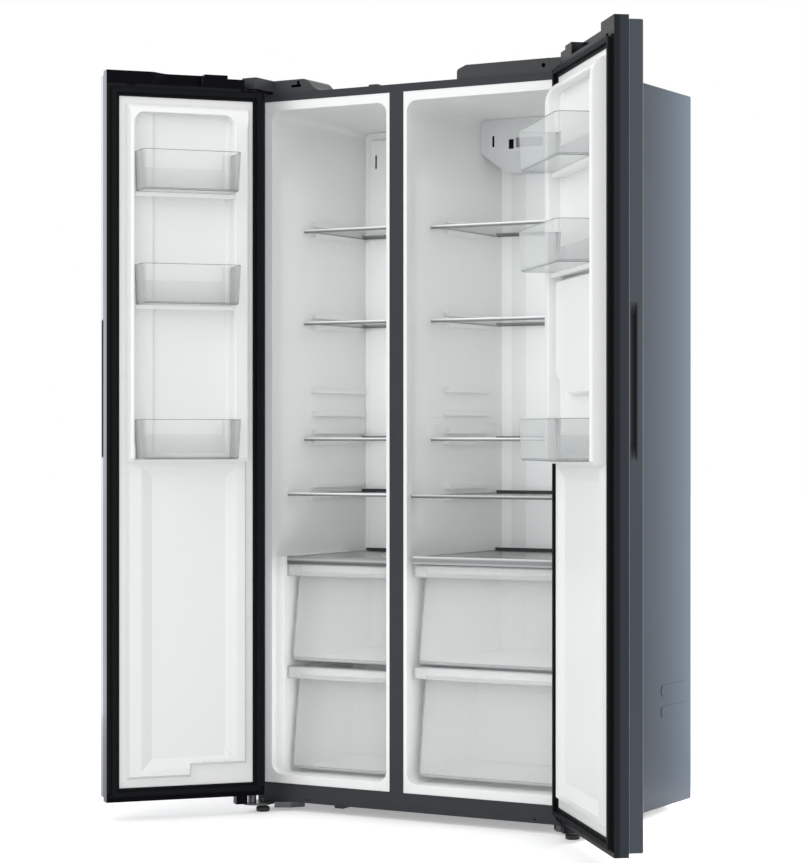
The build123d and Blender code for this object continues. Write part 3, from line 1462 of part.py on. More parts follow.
def make_bin(width, base, height):
    """Door bin: drafted open tray with rounded front corners and a low back wall."""
    x0 = dike_hinge_inset + dike_hinge_width + bin_side_gap
    x1 = width - dike_free_inset - dike_free_width - bin_side_gap
    middle = Pos((x0 + x1) / 2, (bin_back + bin_reach) / 2, base + height)
    size = (x1 - x0, bin_reach - bin_back)
    outer = extrude(middle * bin_outline(*size, 0), amount=height, dir=(0, 0, -1), taper=bin_taper)
    outer = chamfer(outer.edges().group_by(Axis.Z)[0], bin_base_chamfer)
    inner = extrude(middle * bin_outline(*size, bin_wall), amount=height - bin_wall, dir=(0, 0, -1),
                    taper=bin_taper)
    low = base + height - bin_back_drop
    notch = block(x0 + bin_back_margin, x1 - bin_back_margin, bin_back - 1, bin_back + bin_back_cut, low,
                  base + height + 1)
    return outer - inner - notch


# ---------------------------------------------------------------- shelves and drawers
def shelf_plate(x_range, y0, y1, z0, z1, inset):
    """Plate between the drafted side walls."""
    x0, x1 = x_range
    a = wall_offset(y0 - front) + shelf_side_clearance + inset
    b = wall_offset(y1 - front) + shelf_side_clearance + inset
    return prism_z(((x0 + a, y0), (x1 - a, y0), (x1 - b, y1), (x0 + b, y1)), z0, z1)


def make_shelf(x_range, top, front_depth, back_depth):
    """Glass plate with a grooved front trim and a bar clipped along its rear edge."""
    y0 = along(front_depth)
    y1 = along(back_depth)
    low = top - shelf_glass
    glass = shelf_plate(x_range, y0 + shelf_trim_overlap, y1 - shelf_trim_overlap, low, top, 0)
    lip = top + shelf_trim_lip
    trim = shelf_plate(x_range, y0, y0 + shelf_trim_depth, lip - shelf_trim_height, lip, 0) - glass
    rear = shelf_plate(x_range, y1 - shelf_bar_depth, y1, low, low + shelf_bar_height, 1) - glass
    return Compound(children=[glass, trim, rear])


def make_lid(x_range, top, front_depth, outer_side, back_depth):
    """Fixed glass lid over the drawers with a deep front trim, between the pad and the centre wall."""
    y0 = along(front_depth)
    y1 = along(back_depth)
    reach = drawer_pad_reach + lid_side_gap
    off = wall_offset(back_depth) + lid_side_gap
    x0 = x_range[0] + (reach if outer_side < 0 else off)
    x1 = x_range[1] - (reach if outer_side > 0 else off)
    glass = block(x0, x1, y0 + shelf_trim_overlap, y1, top - shelf_glass, top)
    trim = block(x0, x1, y0, y0 + lid_trim_depth, top - lid_trim_height, top + lid_trim_lip) - glass
    rear = block(x0, x1, y1 - shelf_bar_depth, y1, top, top + lid_bar_height)
    return [glass, trim, rear]


def drawer_box(width, depth, height, inset, rise):
    """Drawer body with its sloping front, drawn in by the wall and raised above its rim for a cutter."""
    side = drawer_rim + drawer_body_step + inset
    top = height + rise
    outline = ((drawer_foot_set_back + inset, inset), (depth - drawer_back_lean - inset, inset),
               (depth - inset, top), (drawer_front_set_back + inset, top))
    shape = prism_x(outline, side, width - side)
    return chamfer(shape.edges().filter_by(Axis.X).group_by(Axis.Z)[0], drawer_corner - inset)


def make_drawer(x_left, width, top, front_depth, depth, height):
    """Clear drawer: sloped front under a hollow pull, side rims that ride on the liner's ledges."""
    w = drawer_header_wall
    low = height - drawer_header_height
    shape = drawer_box(width, depth, height, 0, 0)
    shape += block(0, width, 0, drawer_front_set_back + drawer_wall, low, height)
    shape -= block(w, width - w, w, drawer_front_set_back - 1, low - 1, height - w)
    shape -= drawer_box(width, depth, height, drawer_wall, drawer_wall)
    rim_low = low + drawer_rim + seat_clearance
    side = drawer_rim + drawer_body_step
    start = drawer_front_set_back + drawer_rim_start
    end = min(depth, step_front - along(front_depth)) - drawer_rim_clearance
    shape += block(0, side + 1, start, end, rim_low, rim_low + drawer_rim_thickness)
    shape += block(width - side - 1, width, start, end, rim_low, rim_low + drawer_rim_thickness)
    return Pos(x_left, along(front_depth), top - height) * shape


# ---------------------------------------------------------------- every node
def build_cabinet():
    """Nodes of the cabinet and the pieces fixed to it."""
    nodes["outer_cabinet"] = make_outer_cabinet()
    nodes["front_rail"] = make_front_rail()
    nodes["mullion_cover"] = make_mullion_cover()
    nodes["insulation"] = make_insulation()
    nodes["freezer_liner"] = make_liner(freezer_x, freezer_depth, -1, freezer_shelf_tops, freezer_lid_top,
                                        freezer_header_tops)
    nodes["fridge_liner"] = make_liner(fridge_x, fridge_depth, 1, fridge_shelf_tops, fridge_lid_top,
                                       fridge_header_tops)
    nodes["back_panel"] = make_back_panel()
    nodes["machine_room_cover"] = make_machine_room_cover()
    nodes["mains_inlet"] = make_mains_inlet()
    nodes["base_pan"] = make_base_pan()
    nodes["compressor"] = make_compressor()
    nodes["condenser"] = make_condenser()
    nodes["condenser_fan"] = make_condenser_fan()
    nodes["evaporator"] = make_evaporator()
    nodes["evaporator_cover"] = make_evaporator_cover()
    nodes["evaporator_fan"] = make_evaporator_fan()
    nodes["air_duct"] = make_air_duct()
    nodes["lamp_housing"] = make_lamp_housing()
    nodes["lamp_lens"] = make_lamp_lens()
    nodes["upper_hinges"] = make_upper_hinges()
    nodes["lower_hinges"] = make_lower_hinges()
    nodes["hinge_covers"] = make_hinge_covers()
    nodes["board_cover"] = make_board_cover()
    nodes["control_board"] = make_control_board()
    nodes["cabinet_screws"] = make_screws()
    for name, side in (("left", -1), ("right", 1)):
        nodes[f"front_foot_{name}"] = make_foot(side)
        nodes[f"rear_roller_{name}"] = make_roller(side)


def build_door(name, width, side, notched, pod_top, bases, height):
    """Nodes of one door and its bins."""
    nodes[f"{name}_door_body"] = in_door(make_door_body(width, notched, pod_top), side)
    nodes[f"{name}_door_panel"] = in_door(make_door_panel(width), side)
    nodes[f"{name}_door_liner"] = in_door(make_door_liner(width, notched, pod_top, bases), side)
    nodes[f"{name}_door_gasket"] = in_door(make_gasket(width), side)
    nodes[f"{name}_door_caps"] = in_door(make_end_caps(width), side)
    nodes[f"{name}_door_grip"] = in_door(make_grip(width), side)
    for i, base in enumerate(bases):
        nodes[f"{name}_bin_{i + 1}"] = in_door(make_bin(width, base, height), side)


def build_shelves():
    """Nodes of the shelves and of the two glass lids over the drawers."""
    for name, x_range, tops, fronts, rear in (
            ("freezer", freezer_x, freezer_shelf_tops, freezer_shelf_fronts, freezer_rear),
            ("fridge", fridge_x, fridge_shelf_tops, fridge_shelf_fronts, fridge_rear)):
        for i, (top, depth) in enumerate(zip(tops, fronts)):
            nodes[f"{name}_shelf_{i + 1}"] = make_shelf(x_range, top, depth, rear)
    lids = make_lid(freezer_x, freezer_lid_top, freezer_lid_front, -1, freezer_rear)
    lids += make_lid(fridge_x, fridge_lid_top, fridge_lid_front, 1, fridge_rear)
    nodes["drawer_covers"] = Compound(children=lids)


def build_drawers():
    """Nodes of the drawers: the lower one of each pair stops in front of the machine room."""
    clear = wall_offset(step_front - front) + drawer_wall_gap
    pad = drawer_pad_reach + drawer_side_gap
    short = step_front - front - liner_wall - drawer_back_gap
    for name, x0, x1, depth, rear, tops, heights in (
            ("freezer", freezer_x[0] + pad, freezer_x[1] - clear, freezer_drawer_front, freezer_rear,
             freezer_header_tops, freezer_drawer_heights),
            ("fridge", fridge_x[0] + clear, fridge_x[1] - pad, fridge_drawer_front, fridge_rear,
             fridge_header_tops, fridge_drawer_heights)):
        for i, (end, top, height) in enumerate(zip((rear, short), tops, heights)):
            nodes[f"{name}_drawer_{i + 1}"] = make_drawer(x0, x1 - x0, top, depth, end - depth, height)


build_cabinet()
build_door("freezer", freezer_door_width, -1, True, None, freezer_bin_bases, freezer_bin_height)
build_door("fridge", fridge_door_width, 1, False, fridge_bin_bases[1], fridge_bin_bases, fridge_bin_height)
build_shelves()
build_drawers()
os.makedirs("parts", exist_ok=True)
for node, shape in nodes.items():
    export_step(shape, f"parts/{node}.step")
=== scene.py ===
"""Looks of a free-standing side by side refrigerator, laid out as an add-on.

Every size is in metres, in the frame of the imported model: +Z up, the doors face -Y, and the
origin is the centre of the cabinet's underside. Each operator finishes one group of pieces.
"""
import json
import math

import bmesh
import bpy
from bpy.props import FloatProperty, FloatVectorProperty, PointerProperty
from mathutils import Matrix, Vector

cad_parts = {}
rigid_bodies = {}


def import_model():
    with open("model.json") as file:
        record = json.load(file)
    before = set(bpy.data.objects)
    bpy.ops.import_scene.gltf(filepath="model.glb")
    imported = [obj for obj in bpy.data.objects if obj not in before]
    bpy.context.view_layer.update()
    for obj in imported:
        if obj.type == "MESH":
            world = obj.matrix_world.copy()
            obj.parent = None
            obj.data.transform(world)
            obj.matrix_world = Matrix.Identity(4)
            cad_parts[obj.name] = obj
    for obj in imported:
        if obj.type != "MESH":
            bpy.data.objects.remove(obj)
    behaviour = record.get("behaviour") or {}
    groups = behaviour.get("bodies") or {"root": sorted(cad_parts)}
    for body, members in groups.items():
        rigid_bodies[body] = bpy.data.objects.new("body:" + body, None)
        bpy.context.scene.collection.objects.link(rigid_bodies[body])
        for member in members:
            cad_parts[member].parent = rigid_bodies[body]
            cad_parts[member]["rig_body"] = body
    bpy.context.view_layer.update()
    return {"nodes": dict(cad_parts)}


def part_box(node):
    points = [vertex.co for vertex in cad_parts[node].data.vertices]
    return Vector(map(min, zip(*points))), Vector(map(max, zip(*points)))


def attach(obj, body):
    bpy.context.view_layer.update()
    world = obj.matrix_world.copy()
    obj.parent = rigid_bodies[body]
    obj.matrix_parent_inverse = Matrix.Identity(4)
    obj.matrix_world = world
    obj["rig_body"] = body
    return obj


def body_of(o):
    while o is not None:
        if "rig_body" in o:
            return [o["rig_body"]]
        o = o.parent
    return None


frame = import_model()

bl_info = {
    "name": "Side by Side Refrigerator Finish",
    "version": (1, 0, 0),
    "blender": (4, 5, 0),
    "location": "3D View > Sidebar > Refrigerator",
    "description": "Finishes the packed refrigerator model and lights it on a plain stage",
    "category": "Object",
}

NODES = frame["nodes"]
BODIES = {name: body_of(node)[0] for name, node in NODES.items()}
SIDES = {"freezer": -1, "fridge": 1}
DOOR_REST_ANGLE = math.radians(130.0)

# A face looks in a direction when its normal has at least this share of it.
FACING = 0.7

# Parts of the nodes with a finish of their own, measured in from the node's outer faces.
STRIP_DEPTH = 0.003
STRIP_FACING = 0.5
# The rib zone and facing pick the front ends of the liners' ribs, which take painted shade.
RIB_ZONE = (0.03, 0.06)
RIB_FACING = 0.35
TRIM_DEPTH = 0.0125
BAR_DEPTH = 0.0105
GLASS_TOP = 0.0045
RIM = 0.001
REAR_WALL = 0.006

# Depths behind the seam at which a door's free edge is still dark, and fully light: painted shade near the
# seal that gives way to a painted highlight towards the seam.
EDGE_FADE = (0.024, 0.014)

# Shelves, drawers and door bins in each room.
SHELVES = 4
DRAWERS = 2
BINS = 3

# Mottling and smears of paint, with noise scales in turns per metre.
MOTTLE_SCALE = 3.0
SMEAR_SCALE = 9.0
SMEAR_STRETCH = (1.0, 1.0, 0.35)
PEEL_DEPTH = 0.0004
COAT_ROUGHNESS = 0.08

# Rolling lines and spangle of bare sheet.
LINE_SCALE = 60.0
LINE_STRETCH = (0.4, 1.0, 12.0)
LINE_ROUGHNESS = 0.25
SPANGLE_SCALE = 55.0
SPANGLE_FLOOR = 0.9
SPANGLE_CHANGE = 0.16
SHEET_DEPTH = 0.0003
SHEET_BUMP = 0.05
GLASS_IOR = 1.5

# Level bands of the front trims: height from foot to top as a share, and shade. The darker bands are painted
# shade on the trims, and the lightest band is their own pale colour. The tint is their hue.
TRIM_TINT = (1.0, 1.03, 1.04)
SHELF_TRIM = ((0.0, 0.10), (0.30, 0.16), (0.55, 0.62), (1.0, 0.66))
COVER_TRIM = ((0.0, 0.10), (0.16, 0.12), (0.30, 0.42), (0.48, 0.24), (0.66, 0.28), (0.78, 0.66))

# Which edges of the clear mouldings carry a bead: vertices closer than MERGE are one, the angle is past
# SHARP and the length past SHORTEST. A bead's axis lies SINK radii inside its edge.
MERGE = 0.00001
SHARP = math.radians(35.0)
SHORTEST = 0.0015
BEAD_SINK = 1.3
SEAM_SINK = 1.6
SEAM_SIDES = 12

# Dark inserts in the air slots, painted shadow of the slots' depth: middle, foot and top, or left, right,
# foot and top of each slot, and the depths behind the front face between which an insert lies.
COVER_SLOTS = ((-0.3675, 1.579, 1.614), (-0.1395, 1.579, 1.614))
LAMP_SLOTS = ((0.0080, 0.0140, 1.606, 1.634), (0.0540, 0.0680, 1.599, 1.623))
SLOT_HALF = 0.0024
SLOT_GAP = 0.0002
COVER_GAUZE = (0.002, 0.009)
LAMP_GAUZE = (0.001, 0.0024)
EASED_SHARE = 0.2

# Lights, floor and camera. The lights of a compartment stand MOUTH_GAP from the plane of its mouth and are
# FILL_INSET smaller than it, and the upper one ends FILL_DROP lower.
KEY_LIGHT = {"size": (3.0, 3.0), "place": (-1.6, -4.2, 3.2), "aim": (0.0, 0.0, 0.9)}
SIDE_LIGHT = {"size": (0.12, 2.2), "place": (0.64, 0.42, 0.95), "aim": (0.455, 0.22, 0.95)}
LEFT_LIGHT = {"size": (1.2, 3.2), "place": (-2.6, 0.45, 0.85), "aim": (-0.8, -0.35, 0.85),
              "tint": (0.78, 0.87, 1.0)}
MOUTH_GAP = 0.02
FILL_INSET = 4 * MOUTH_GAP
FILL_SPREAD = math.radians(100.0)
FILL_DROP = 0.14
FLOOR_REACH = 30.0
FLOOR_GLOW = 0.35
FLOOR_GREY = (0.86, 0.86, 0.86, 1.0)
WHITE = (1.0, 1.0, 1.0, 1.0)
CAMERA_REACH = 100.0


def door_axes(side):
    """A door's direction from hinge to free edge and its outward direction, at rest."""
    across = Vector((side * -math.cos(DOOR_REST_ANGLE), -math.sin(DOOR_REST_ANGLE), 0.0))
    outward = Vector((side * math.sin(DOOR_REST_ANGLE), -math.cos(DOOR_REST_ANGLE), 0.0))
    return across, outward


def colour(name, description, default):
    """A colour property of a finish, in linear red, green and blue."""
    return FloatVectorProperty(name=name, description=description, default=default, size=3,
                               min=0.0, max=1.0, subtype="COLOR")


def distance(name, description, default):
    """A length property in metres."""
    return FloatProperty(name=name, description=description, default=default, min=0.0, unit="LENGTH")


class FinishSettings(bpy.types.PropertyGroup):
    """Colours of the refrigerator's finishes."""
    cabinet: colour("Cabinet paint", "Painted steel of the cabinet's sides and top", (0.038, 0.047, 0.060))
    strip: colour("Front frame paint", "Painted front edges of the cabinet", (0.036, 0.040, 0.045))
    door: colour("Door face", "Glossy front of both doors", (0.009, 0.022, 0.036))
    # The door edge colour is the light end of the painted highlight on the free edges; the dark end is the
    # door frame's colour.
    door_edge: colour("Door edge", "Satin strip along the door's free edge", (0.026, 0.034, 0.044))
    door_frame: colour("Door frame", "Dark plastic round the door's inner side", (0.006, 0.008, 0.011))
    # The caps' black also serves the slot inserts, which are painted shadow.
    cap: colour("End caps", "Black plastic of the caps, rollers, fans and inserts", (0.002, 0.002, 0.004))
    cover: colour("Top covers", "Dark grey plastic of the covers on the cabinet", (0.050, 0.053, 0.057))
    seal: colour("Door seal", "Magnetic seal", (0.006, 0.007, 0.009))
    liner: colour("Liner", "White plastic of the compartments and inner doors", (0.89, 0.90, 0.895))
    fitting: colour("Inner fittings", "White plastic of the covers in the compartments", (0.88, 0.89, 0.885))
    duct: colour("Air duct", "Pale grey plastic of the air duct", (0.82, 0.84, 0.84))
    # The lamp housing is white plastic; its colour is darkened as painted shade.
    lamp: colour("Lamp housing", "Pale grey plastic of the lamp housing", (0.68, 0.70, 0.705))
    clear: colour("Bin plastic", "Clear plastic of the door bins", (0.72, 0.76, 0.76))
    frosted: colour("Drawer plastic", "Clear plastic of the drawers", (0.88, 0.90, 0.90))
    # The bin end colour is a darker copy of the bin plastic, as painted shade.
    clear_end: colour("Bin ends", "End walls of the door bins", (0.38, 0.41, 0.42))
    rim: colour("Clear rims", "Upper rims of drawers and door bins", (0.42, 0.46, 0.46))
    # The clear edge colour is painted shade for the light bent in the mouldings' edges.
    edge_line: colour("Clear edges", "Edges of drawers and door bins", (0.30, 0.34, 0.34))
    glass: colour("Shelf glass", "Toughened glass plates", (0.60, 0.68, 0.67))
    # The glass underside colour is a darker copy of the shelf glass, as painted shade.
    glass_under: colour("Glass underside", "Underside of the glass plates", (0.22, 0.25, 0.25))
    glass_edge: colour("Glass edge", "Polished edges of the glass plates", (0.34, 0.40, 0.39))
    # The lens colour is darkened as painted shade, like the lamp housing.
    lens: colour("Lamp lens", "Clear lens of the lamp", (0.25, 0.265, 0.27))
    # The rib end colour is painted shade on the ribs' front ends, darker than the liner.
    rib_end: colour("Rib ends", "Front ends of the liners' ribs", (0.58, 0.59, 0.59))
    bar: colour("Rear bars", "Dark bars along the rear of the glass plates", (0.03, 0.033, 0.036))
    grip: colour("Grip", "Lining of the grip recesses", (0.060, 0.064, 0.068))
    # The door seam colour is a painted highlight along the seam.
    seam: colour("Door seam", "Satin bead between a door's body and front", (0.26, 0.30, 0.34))
    rubber: colour("Rubber", "Pads of the feet", (0.035, 0.035, 0.036))
    black_steel: colour("Black steel", "Upper hinges and compressor", (0.012, 0.012, 0.013))
    hinge_steel: colour("Hinge steel", "Lower hinges", (0.16, 0.165, 0.17))
    fins: colour("Fins", "Aluminium of condenser and evaporator", (0.75, 0.76, 0.77))
    board: colour("Circuit board", "Resin of the control board", (0.02, 0.14, 0.06))
    zinc: colour("Zinc plated steel", "Back panel, base and small parts", (0.52, 0.53, 0.55))
    foam: colour("Rigid foam", "Insulation in the cabinet walls", (0.70, 0.58, 0.30))


class DetailSettings(bpy.types.PropertyGroup):
    """Sizes of the fine details."""
    # The bin and drawer beads carry the painted shade of the clear edges.
    bin_bead: distance("Bin edge bead", "Radius of the line in a bin's edges", 0.0006)
    drawer_bead: distance("Drawer edge bead", "Radius of the line in a drawer's edges", 0.0008)
    # The seam bead carries a painted highlight.
    seam_bead: distance("Door seam bead", "Radius of the bead in a door's groove", 0.0011)


class StageSettings(bpy.types.PropertyGroup):
    """Camera and lights."""
    camera_x: FloatProperty(name="Camera X", description="Camera position across", default=2.8992,
                            unit="LENGTH")
    camera_y: FloatProperty(name="Camera Y", description="Camera position in depth", default=-5.3606,
                            unit="LENGTH")
    camera_z: FloatProperty(name="Camera Z", description="Camera height", default=0.8889, unit="LENGTH")
    azimuth: FloatProperty(name="Azimuth", description="Turn of the camera about the vertical",
                           default=math.radians(30.11), subtype="ANGLE")
    lens: FloatProperty(name="Lens", description="Focal length in millimetres", default=103.5, min=1.0)
    shift: FloatProperty(name="Shift", description="Vertical shift of the lens", default=0.0057)
    key_power: FloatProperty(name="Key light", description="Power of the large front light", default=42.0,
                             unit="POWER")
    side_power: FloatProperty(name="Side light", description="Power of the strip light behind on the right",
                              default=19.0, unit="POWER")
    room_power: FloatProperty(name="Compartment lights", description="Power of the lights in the compartments"
                              " for each metre of width", default=1.7, unit="POWER")
    drawer_power: FloatProperty(name="Drawer lights", description="Power of the lights before the drawers"
                                " for each metre of width", default=0.95, unit="POWER")
    left_power: FloatProperty(name="Left light", description="Power of the light behind on the left",
                              default=10.0, unit="POWER")
    world: FloatProperty(name="Surroundings", description="Brightness of the room's soft light", default=1.0)


# ---------------------------------------------------------------- shader groups
def new_group(name, inputs, outputs):
    """An empty shader group with its sockets and end nodes."""
    group = bpy.data.node_groups.new(name, "ShaderNodeTree")
    for label, kind, value in inputs:
        socket = group.interface.new_socket(name=label, in_out="INPUT", socket_type=kind)
        socket.default_value = value
    for label, kind in outputs:
        group.interface.new_socket(name=label, in_out="OUTPUT", socket_type=kind)
    start = group.nodes.new("NodeGroupInput")
    end = group.nodes.new("NodeGroupOutput")
    return group, start, end


def link(tree, source, target):
    """Join two sockets of a node tree."""
    tree.links.new(source, target)


def math_node(tree, operation, first, second):
    """A math node on two values, each a socket or a number."""
    node = tree.nodes.new("ShaderNodeMath")
    node.operation = operation
    for i, value in enumerate((first, second)):
        if isinstance(value, (int, float)):
            node.inputs[i].default_value = value
        else:
            link(tree, value, node.inputs[i])
    return node.outputs[0]


def object_noise(tree, scale, detail, stretch=(1.0, 1.0, 1.0)):
    """Noise in the object's own coordinates."""
    place = tree.nodes.new("ShaderNodeTexCoord")
    mapping = tree.nodes.new("ShaderNodeMapping")
    mapping.inputs["Scale"].default_value = stretch
    link(tree, place.outputs["Object"], mapping.inputs["Vector"])
    noise = tree.nodes.new("ShaderNodeTexNoise")
    noise.inputs["Detail"].default_value = detail
    if isinstance(scale, (int, float)):
        noise.inputs["Scale"].default_value = scale
    else:
        link(tree, scale, noise.inputs["Scale"])
    link(tree, mapping.outputs["Vector"], noise.inputs["Vector"])
    return noise.outputs["Fac"]


def mix_colour(tree, mode, factor, first, second):
    """A colour mix whose three inputs are sockets or plain values."""
    node = tree.nodes.new("ShaderNodeMix")
    node.data_type = "RGBA"
    node.blend_type = mode
    for socket, value in ((node.inputs[0], factor), (node.inputs[6], first), (node.inputs[7], second)):
        if isinstance(value, bpy.types.NodeSocket):
            link(tree, value, socket)
        elif isinstance(value, (int, float)):
            socket.default_value = value
        else:
            socket.default_value = (*value, 1.0)
    return node.outputs[2]


def dimmed(tree, colour_socket, level):
    """A colour multiplied by one level."""
    grey = tree.nodes.new("ShaderNodeCombineColor")
    for socket in grey.inputs[:3]:
        link(tree, level, socket)
    return mix_colour(tree, "MULTIPLY", 1.0, colour_socket, grey.outputs[0])


def make_paint_group():
    """Soft mottling and the fine orange peel of a sprayed or moulded surface."""
    group, start, end = new_group(
        "paint_surface",
        [("Color", "NodeSocketColor", (0.5, 0.5, 0.5, 1.0)), ("Mottle", "NodeSocketFloat", 0.06),
         ("Peel Scale", "NodeSocketFloat", 900.0), ("Roughness", "NodeSocketFloat", 0.35),
         ("Rough Change", "NodeSocketFloat", 0.06)],
        [("Color", "NodeSocketColor"), ("Roughness", "NodeSocketFloat"), ("Height", "NodeSocketFloat")])
    broad = object_noise(group, MOTTLE_SCALE, 3.0)
    shade = math_node(group, "SUBTRACT", broad, 0.5)
    shade = math_node(group, "MULTIPLY", shade, start.outputs["Mottle"])
    shade = math_node(group, "ADD", shade, 1.0)
    link(group, dimmed(group, start.outputs["Color"], shade), end.inputs["Color"])
    smear = object_noise(group, SMEAR_SCALE, 4.0, SMEAR_STRETCH)
    rough = math_node(group, "SUBTRACT", smear, 0.5)
    rough = math_node(group, "MULTIPLY", rough, start.outputs["Rough Change"])
    rough = math_node(group, "ADD", rough, start.outputs["Roughness"])
    link(group, rough, end.inputs["Roughness"])
    peel = object_noise(group, start.outputs["Peel Scale"], 2.0)
    link(group, peel, end.inputs["Height"])
    return group


def make_brush_group():
    """Long fine lines of rolled or plated sheet."""
    group, start, end = new_group(
        "rolled_sheet",
        [("Color", "NodeSocketColor", (0.5, 0.5, 0.5, 1.0)), ("Roughness", "NodeSocketFloat", 0.35)],
        [("Color", "NodeSocketColor"), ("Roughness", "NodeSocketFloat"), ("Height", "NodeSocketFloat")])
    lines = object_noise(group, LINE_SCALE, 4.0, LINE_STRETCH)
    spangle = group.nodes.new("ShaderNodeTexVoronoi")
    place = group.nodes.new("ShaderNodeTexCoord")
    spangle.inputs["Scale"].default_value = SPANGLE_SCALE
    link(group, place.outputs["Object"], spangle.inputs["Vector"])
    crystal = group.nodes.new("ShaderNodeSeparateColor")
    link(group, spangle.outputs["Color"], crystal.inputs[0])
    level = math_node(group, "MULTIPLY", crystal.outputs[0], SPANGLE_CHANGE)
    level = math_node(group, "ADD", level, SPANGLE_FLOOR)
    link(group, dimmed(group, start.outputs["Color"], level), end.inputs["Color"])
    rough = math_node(group, "MULTIPLY", lines, LINE_ROUGHNESS)
    rough = math_node(group, "ADD", rough, start.outputs["Roughness"])
    link(group, rough, end.inputs["Roughness"])
    link(group, lines, end.inputs["Height"])
    return group


GROUPS = {}


def place_group(tree, name, **values):
    """Put a shared group into a material and set its inputs."""
    node = tree.nodes.new("ShaderNodeGroup")
    node.node_tree = GROUPS[name]
    for label, value in values.items():
        socket = node.inputs[label.replace("_", " ").title()]
        socket.default_value = (*value, 1.0) if hasattr(value, "__len__") else value
    return node


# ---------------------------------------------------------------- materials
def new_material(name, **values):
    """A material with its Principled shader's plain sockets set."""
    material = bpy.data.materials.new(name)
    material.use_nodes = True
    shader = material.node_tree.nodes["Principled BSDF"]
    for label, value in values.items():
        shader.inputs[label.replace("_", " ").title().replace("Ior", "IOR")].default_value = value
    return material, material.node_tree, shader


def use_surface(tree, shader, group):
    """Take a shader's colour and roughness from a placed group."""
    link(tree, group.outputs["Color"], shader.inputs["Base Color"])
    link(tree, group.outputs["Roughness"], shader.inputs["Roughness"])


def add_relief(tree, shader, group, strength, depth):
    """Bump a shader's surface by the height of a placed group."""
    bumped = tree.nodes.new("ShaderNodeBump")
    bumped.inputs["Strength"].default_value = strength
    bumped.inputs["Distance"].default_value = depth
    link(tree, group.outputs["Height"], bumped.inputs["Height"])
    link(tree, bumped.outputs["Normal"], shader.inputs["Normal"])


def painted(name, base, roughness, mottle=0.06, peel=900.0, bump=0.02, change=0.06, coat=0.0, **values):
    """Painted or moulded surface with mottling and peel."""
    material, tree, shader = new_material(name, coat_weight=coat, coat_roughness=COAT_ROUGHNESS, **values)
    group = place_group(tree, "paint_surface", color=tuple(base), mottle=mottle, peel_scale=peel,
                        roughness=roughness, rough_change=change)
    use_surface(tree, shader, group)
    add_relief(tree, shader, group, bump, PEEL_DEPTH)
    material.diffuse_color = (*base, 1.0)
    return material


def edge_finish(room, dark, light):
    """Satin strip of a door's free edge, darker towards the seal as painted shade and lighter towards the
    seam as a painted highlight.
    """
    material, tree, shader = new_material(f"{room}_door_edge", roughness=0.15, specular_ior_level=0.2)
    outward = door_axes(SIDES[room])[1]
    seam = max(vertex.co.dot(outward) for vertex in NODES[f"{room}_door_body"].data.vertices)
    place = tree.nodes.new("ShaderNodeTexCoord")
    depth = tree.nodes.new("ShaderNodeVectorMath")
    depth.operation = "DOT_PRODUCT"
    depth.inputs[1].default_value = outward
    link(tree, place.outputs["Object"], depth.inputs[0])
    ramp = tree.nodes.new("ShaderNodeMapRange")
    ramp.interpolation_type = "SMOOTHSTEP"
    ramp.inputs["From Min"].default_value = seam - EDGE_FADE[0]
    ramp.inputs["From Max"].default_value = seam - EDGE_FADE[1]
    link(tree, depth.outputs["Value"], ramp.inputs["Value"])
    mixed = mix_colour(tree, "MIX", ramp.outputs[0], dark, light)
    group = place_group(tree, "paint_surface", mottle=0.05, peel_scale=900.0, roughness=0.15,
                        rough_change=0.03)
    link(tree, mixed, group.inputs["Color"])
    use_surface(tree, shader, group)
    return material


def trim_finish(name, bands):
    """Satin trim of a shelf's front, in level bands from its foot to its top; the darker bands are painted
    shade.
    """
    material, tree, shader = new_material(name, specular_ior_level=0.3)
    place = tree.nodes.new("ShaderNodeTexCoord")
    split = tree.nodes.new("ShaderNodeSeparateXYZ")
    link(tree, place.outputs["Generated"], split.inputs[0])
    ramp = tree.nodes.new("ShaderNodeValToRGB")
    stops = ramp.color_ramp.elements
    while len(stops) < len(bands):
        stops.new(0.5)
    for stop, (height, shade) in zip(stops, bands):
        stop.position = height
        stop.color = (*(shade * share for share in TRIM_TINT), 1.0)
    link(tree, split.outputs["Z"], ramp.inputs[0])
    group = place_group(tree, "paint_surface", mottle=0.03, peel_scale=900.0, roughness=0.25,
                        rough_change=0.04)
    link(tree, ramp.outputs[0], group.inputs["Color"])
    use_surface(tree, shader, group)
    return material


def plated(name, base, roughness):
    """Zinc plated or bare metal sheet."""
    material, tree, shader = new_material(name, metallic=1.0)
    group = place_group(tree, "rolled_sheet", color=tuple(base), roughness=roughness)
    use_surface(tree, shader, group)
    add_relief(tree, shader, group, SHEET_BUMP, SHEET_DEPTH)
    return material


def see_through(name, base, roughness, face, edge, power):
    """Clear plastic or glass whose opacity rises from face on to edge on by a power of the angle."""
    material, tree, shader = new_material(name, roughness=roughness, ior=GLASS_IOR)
    group = place_group(tree, "paint_surface", color=tuple(base), mottle=0.04, peel_scale=60.0,
                        roughness=roughness, rough_change=0.03)
    use_surface(tree, shader, group)
    facing = tree.nodes.new("ShaderNodeLayerWeight")
    facing.inputs["Blend"].default_value = 0.5
    bend = math_node(tree, "POWER", facing.outputs["Facing"], power)
    alpha = math_node(tree, "MULTIPLY", bend, edge - face)
    alpha = math_node(tree, "ADD", alpha, face)
    link(tree, alpha, shader.inputs["Alpha"])
    material.diffuse_color = (*base, 0.4)
    return material


MATERIALS = {}


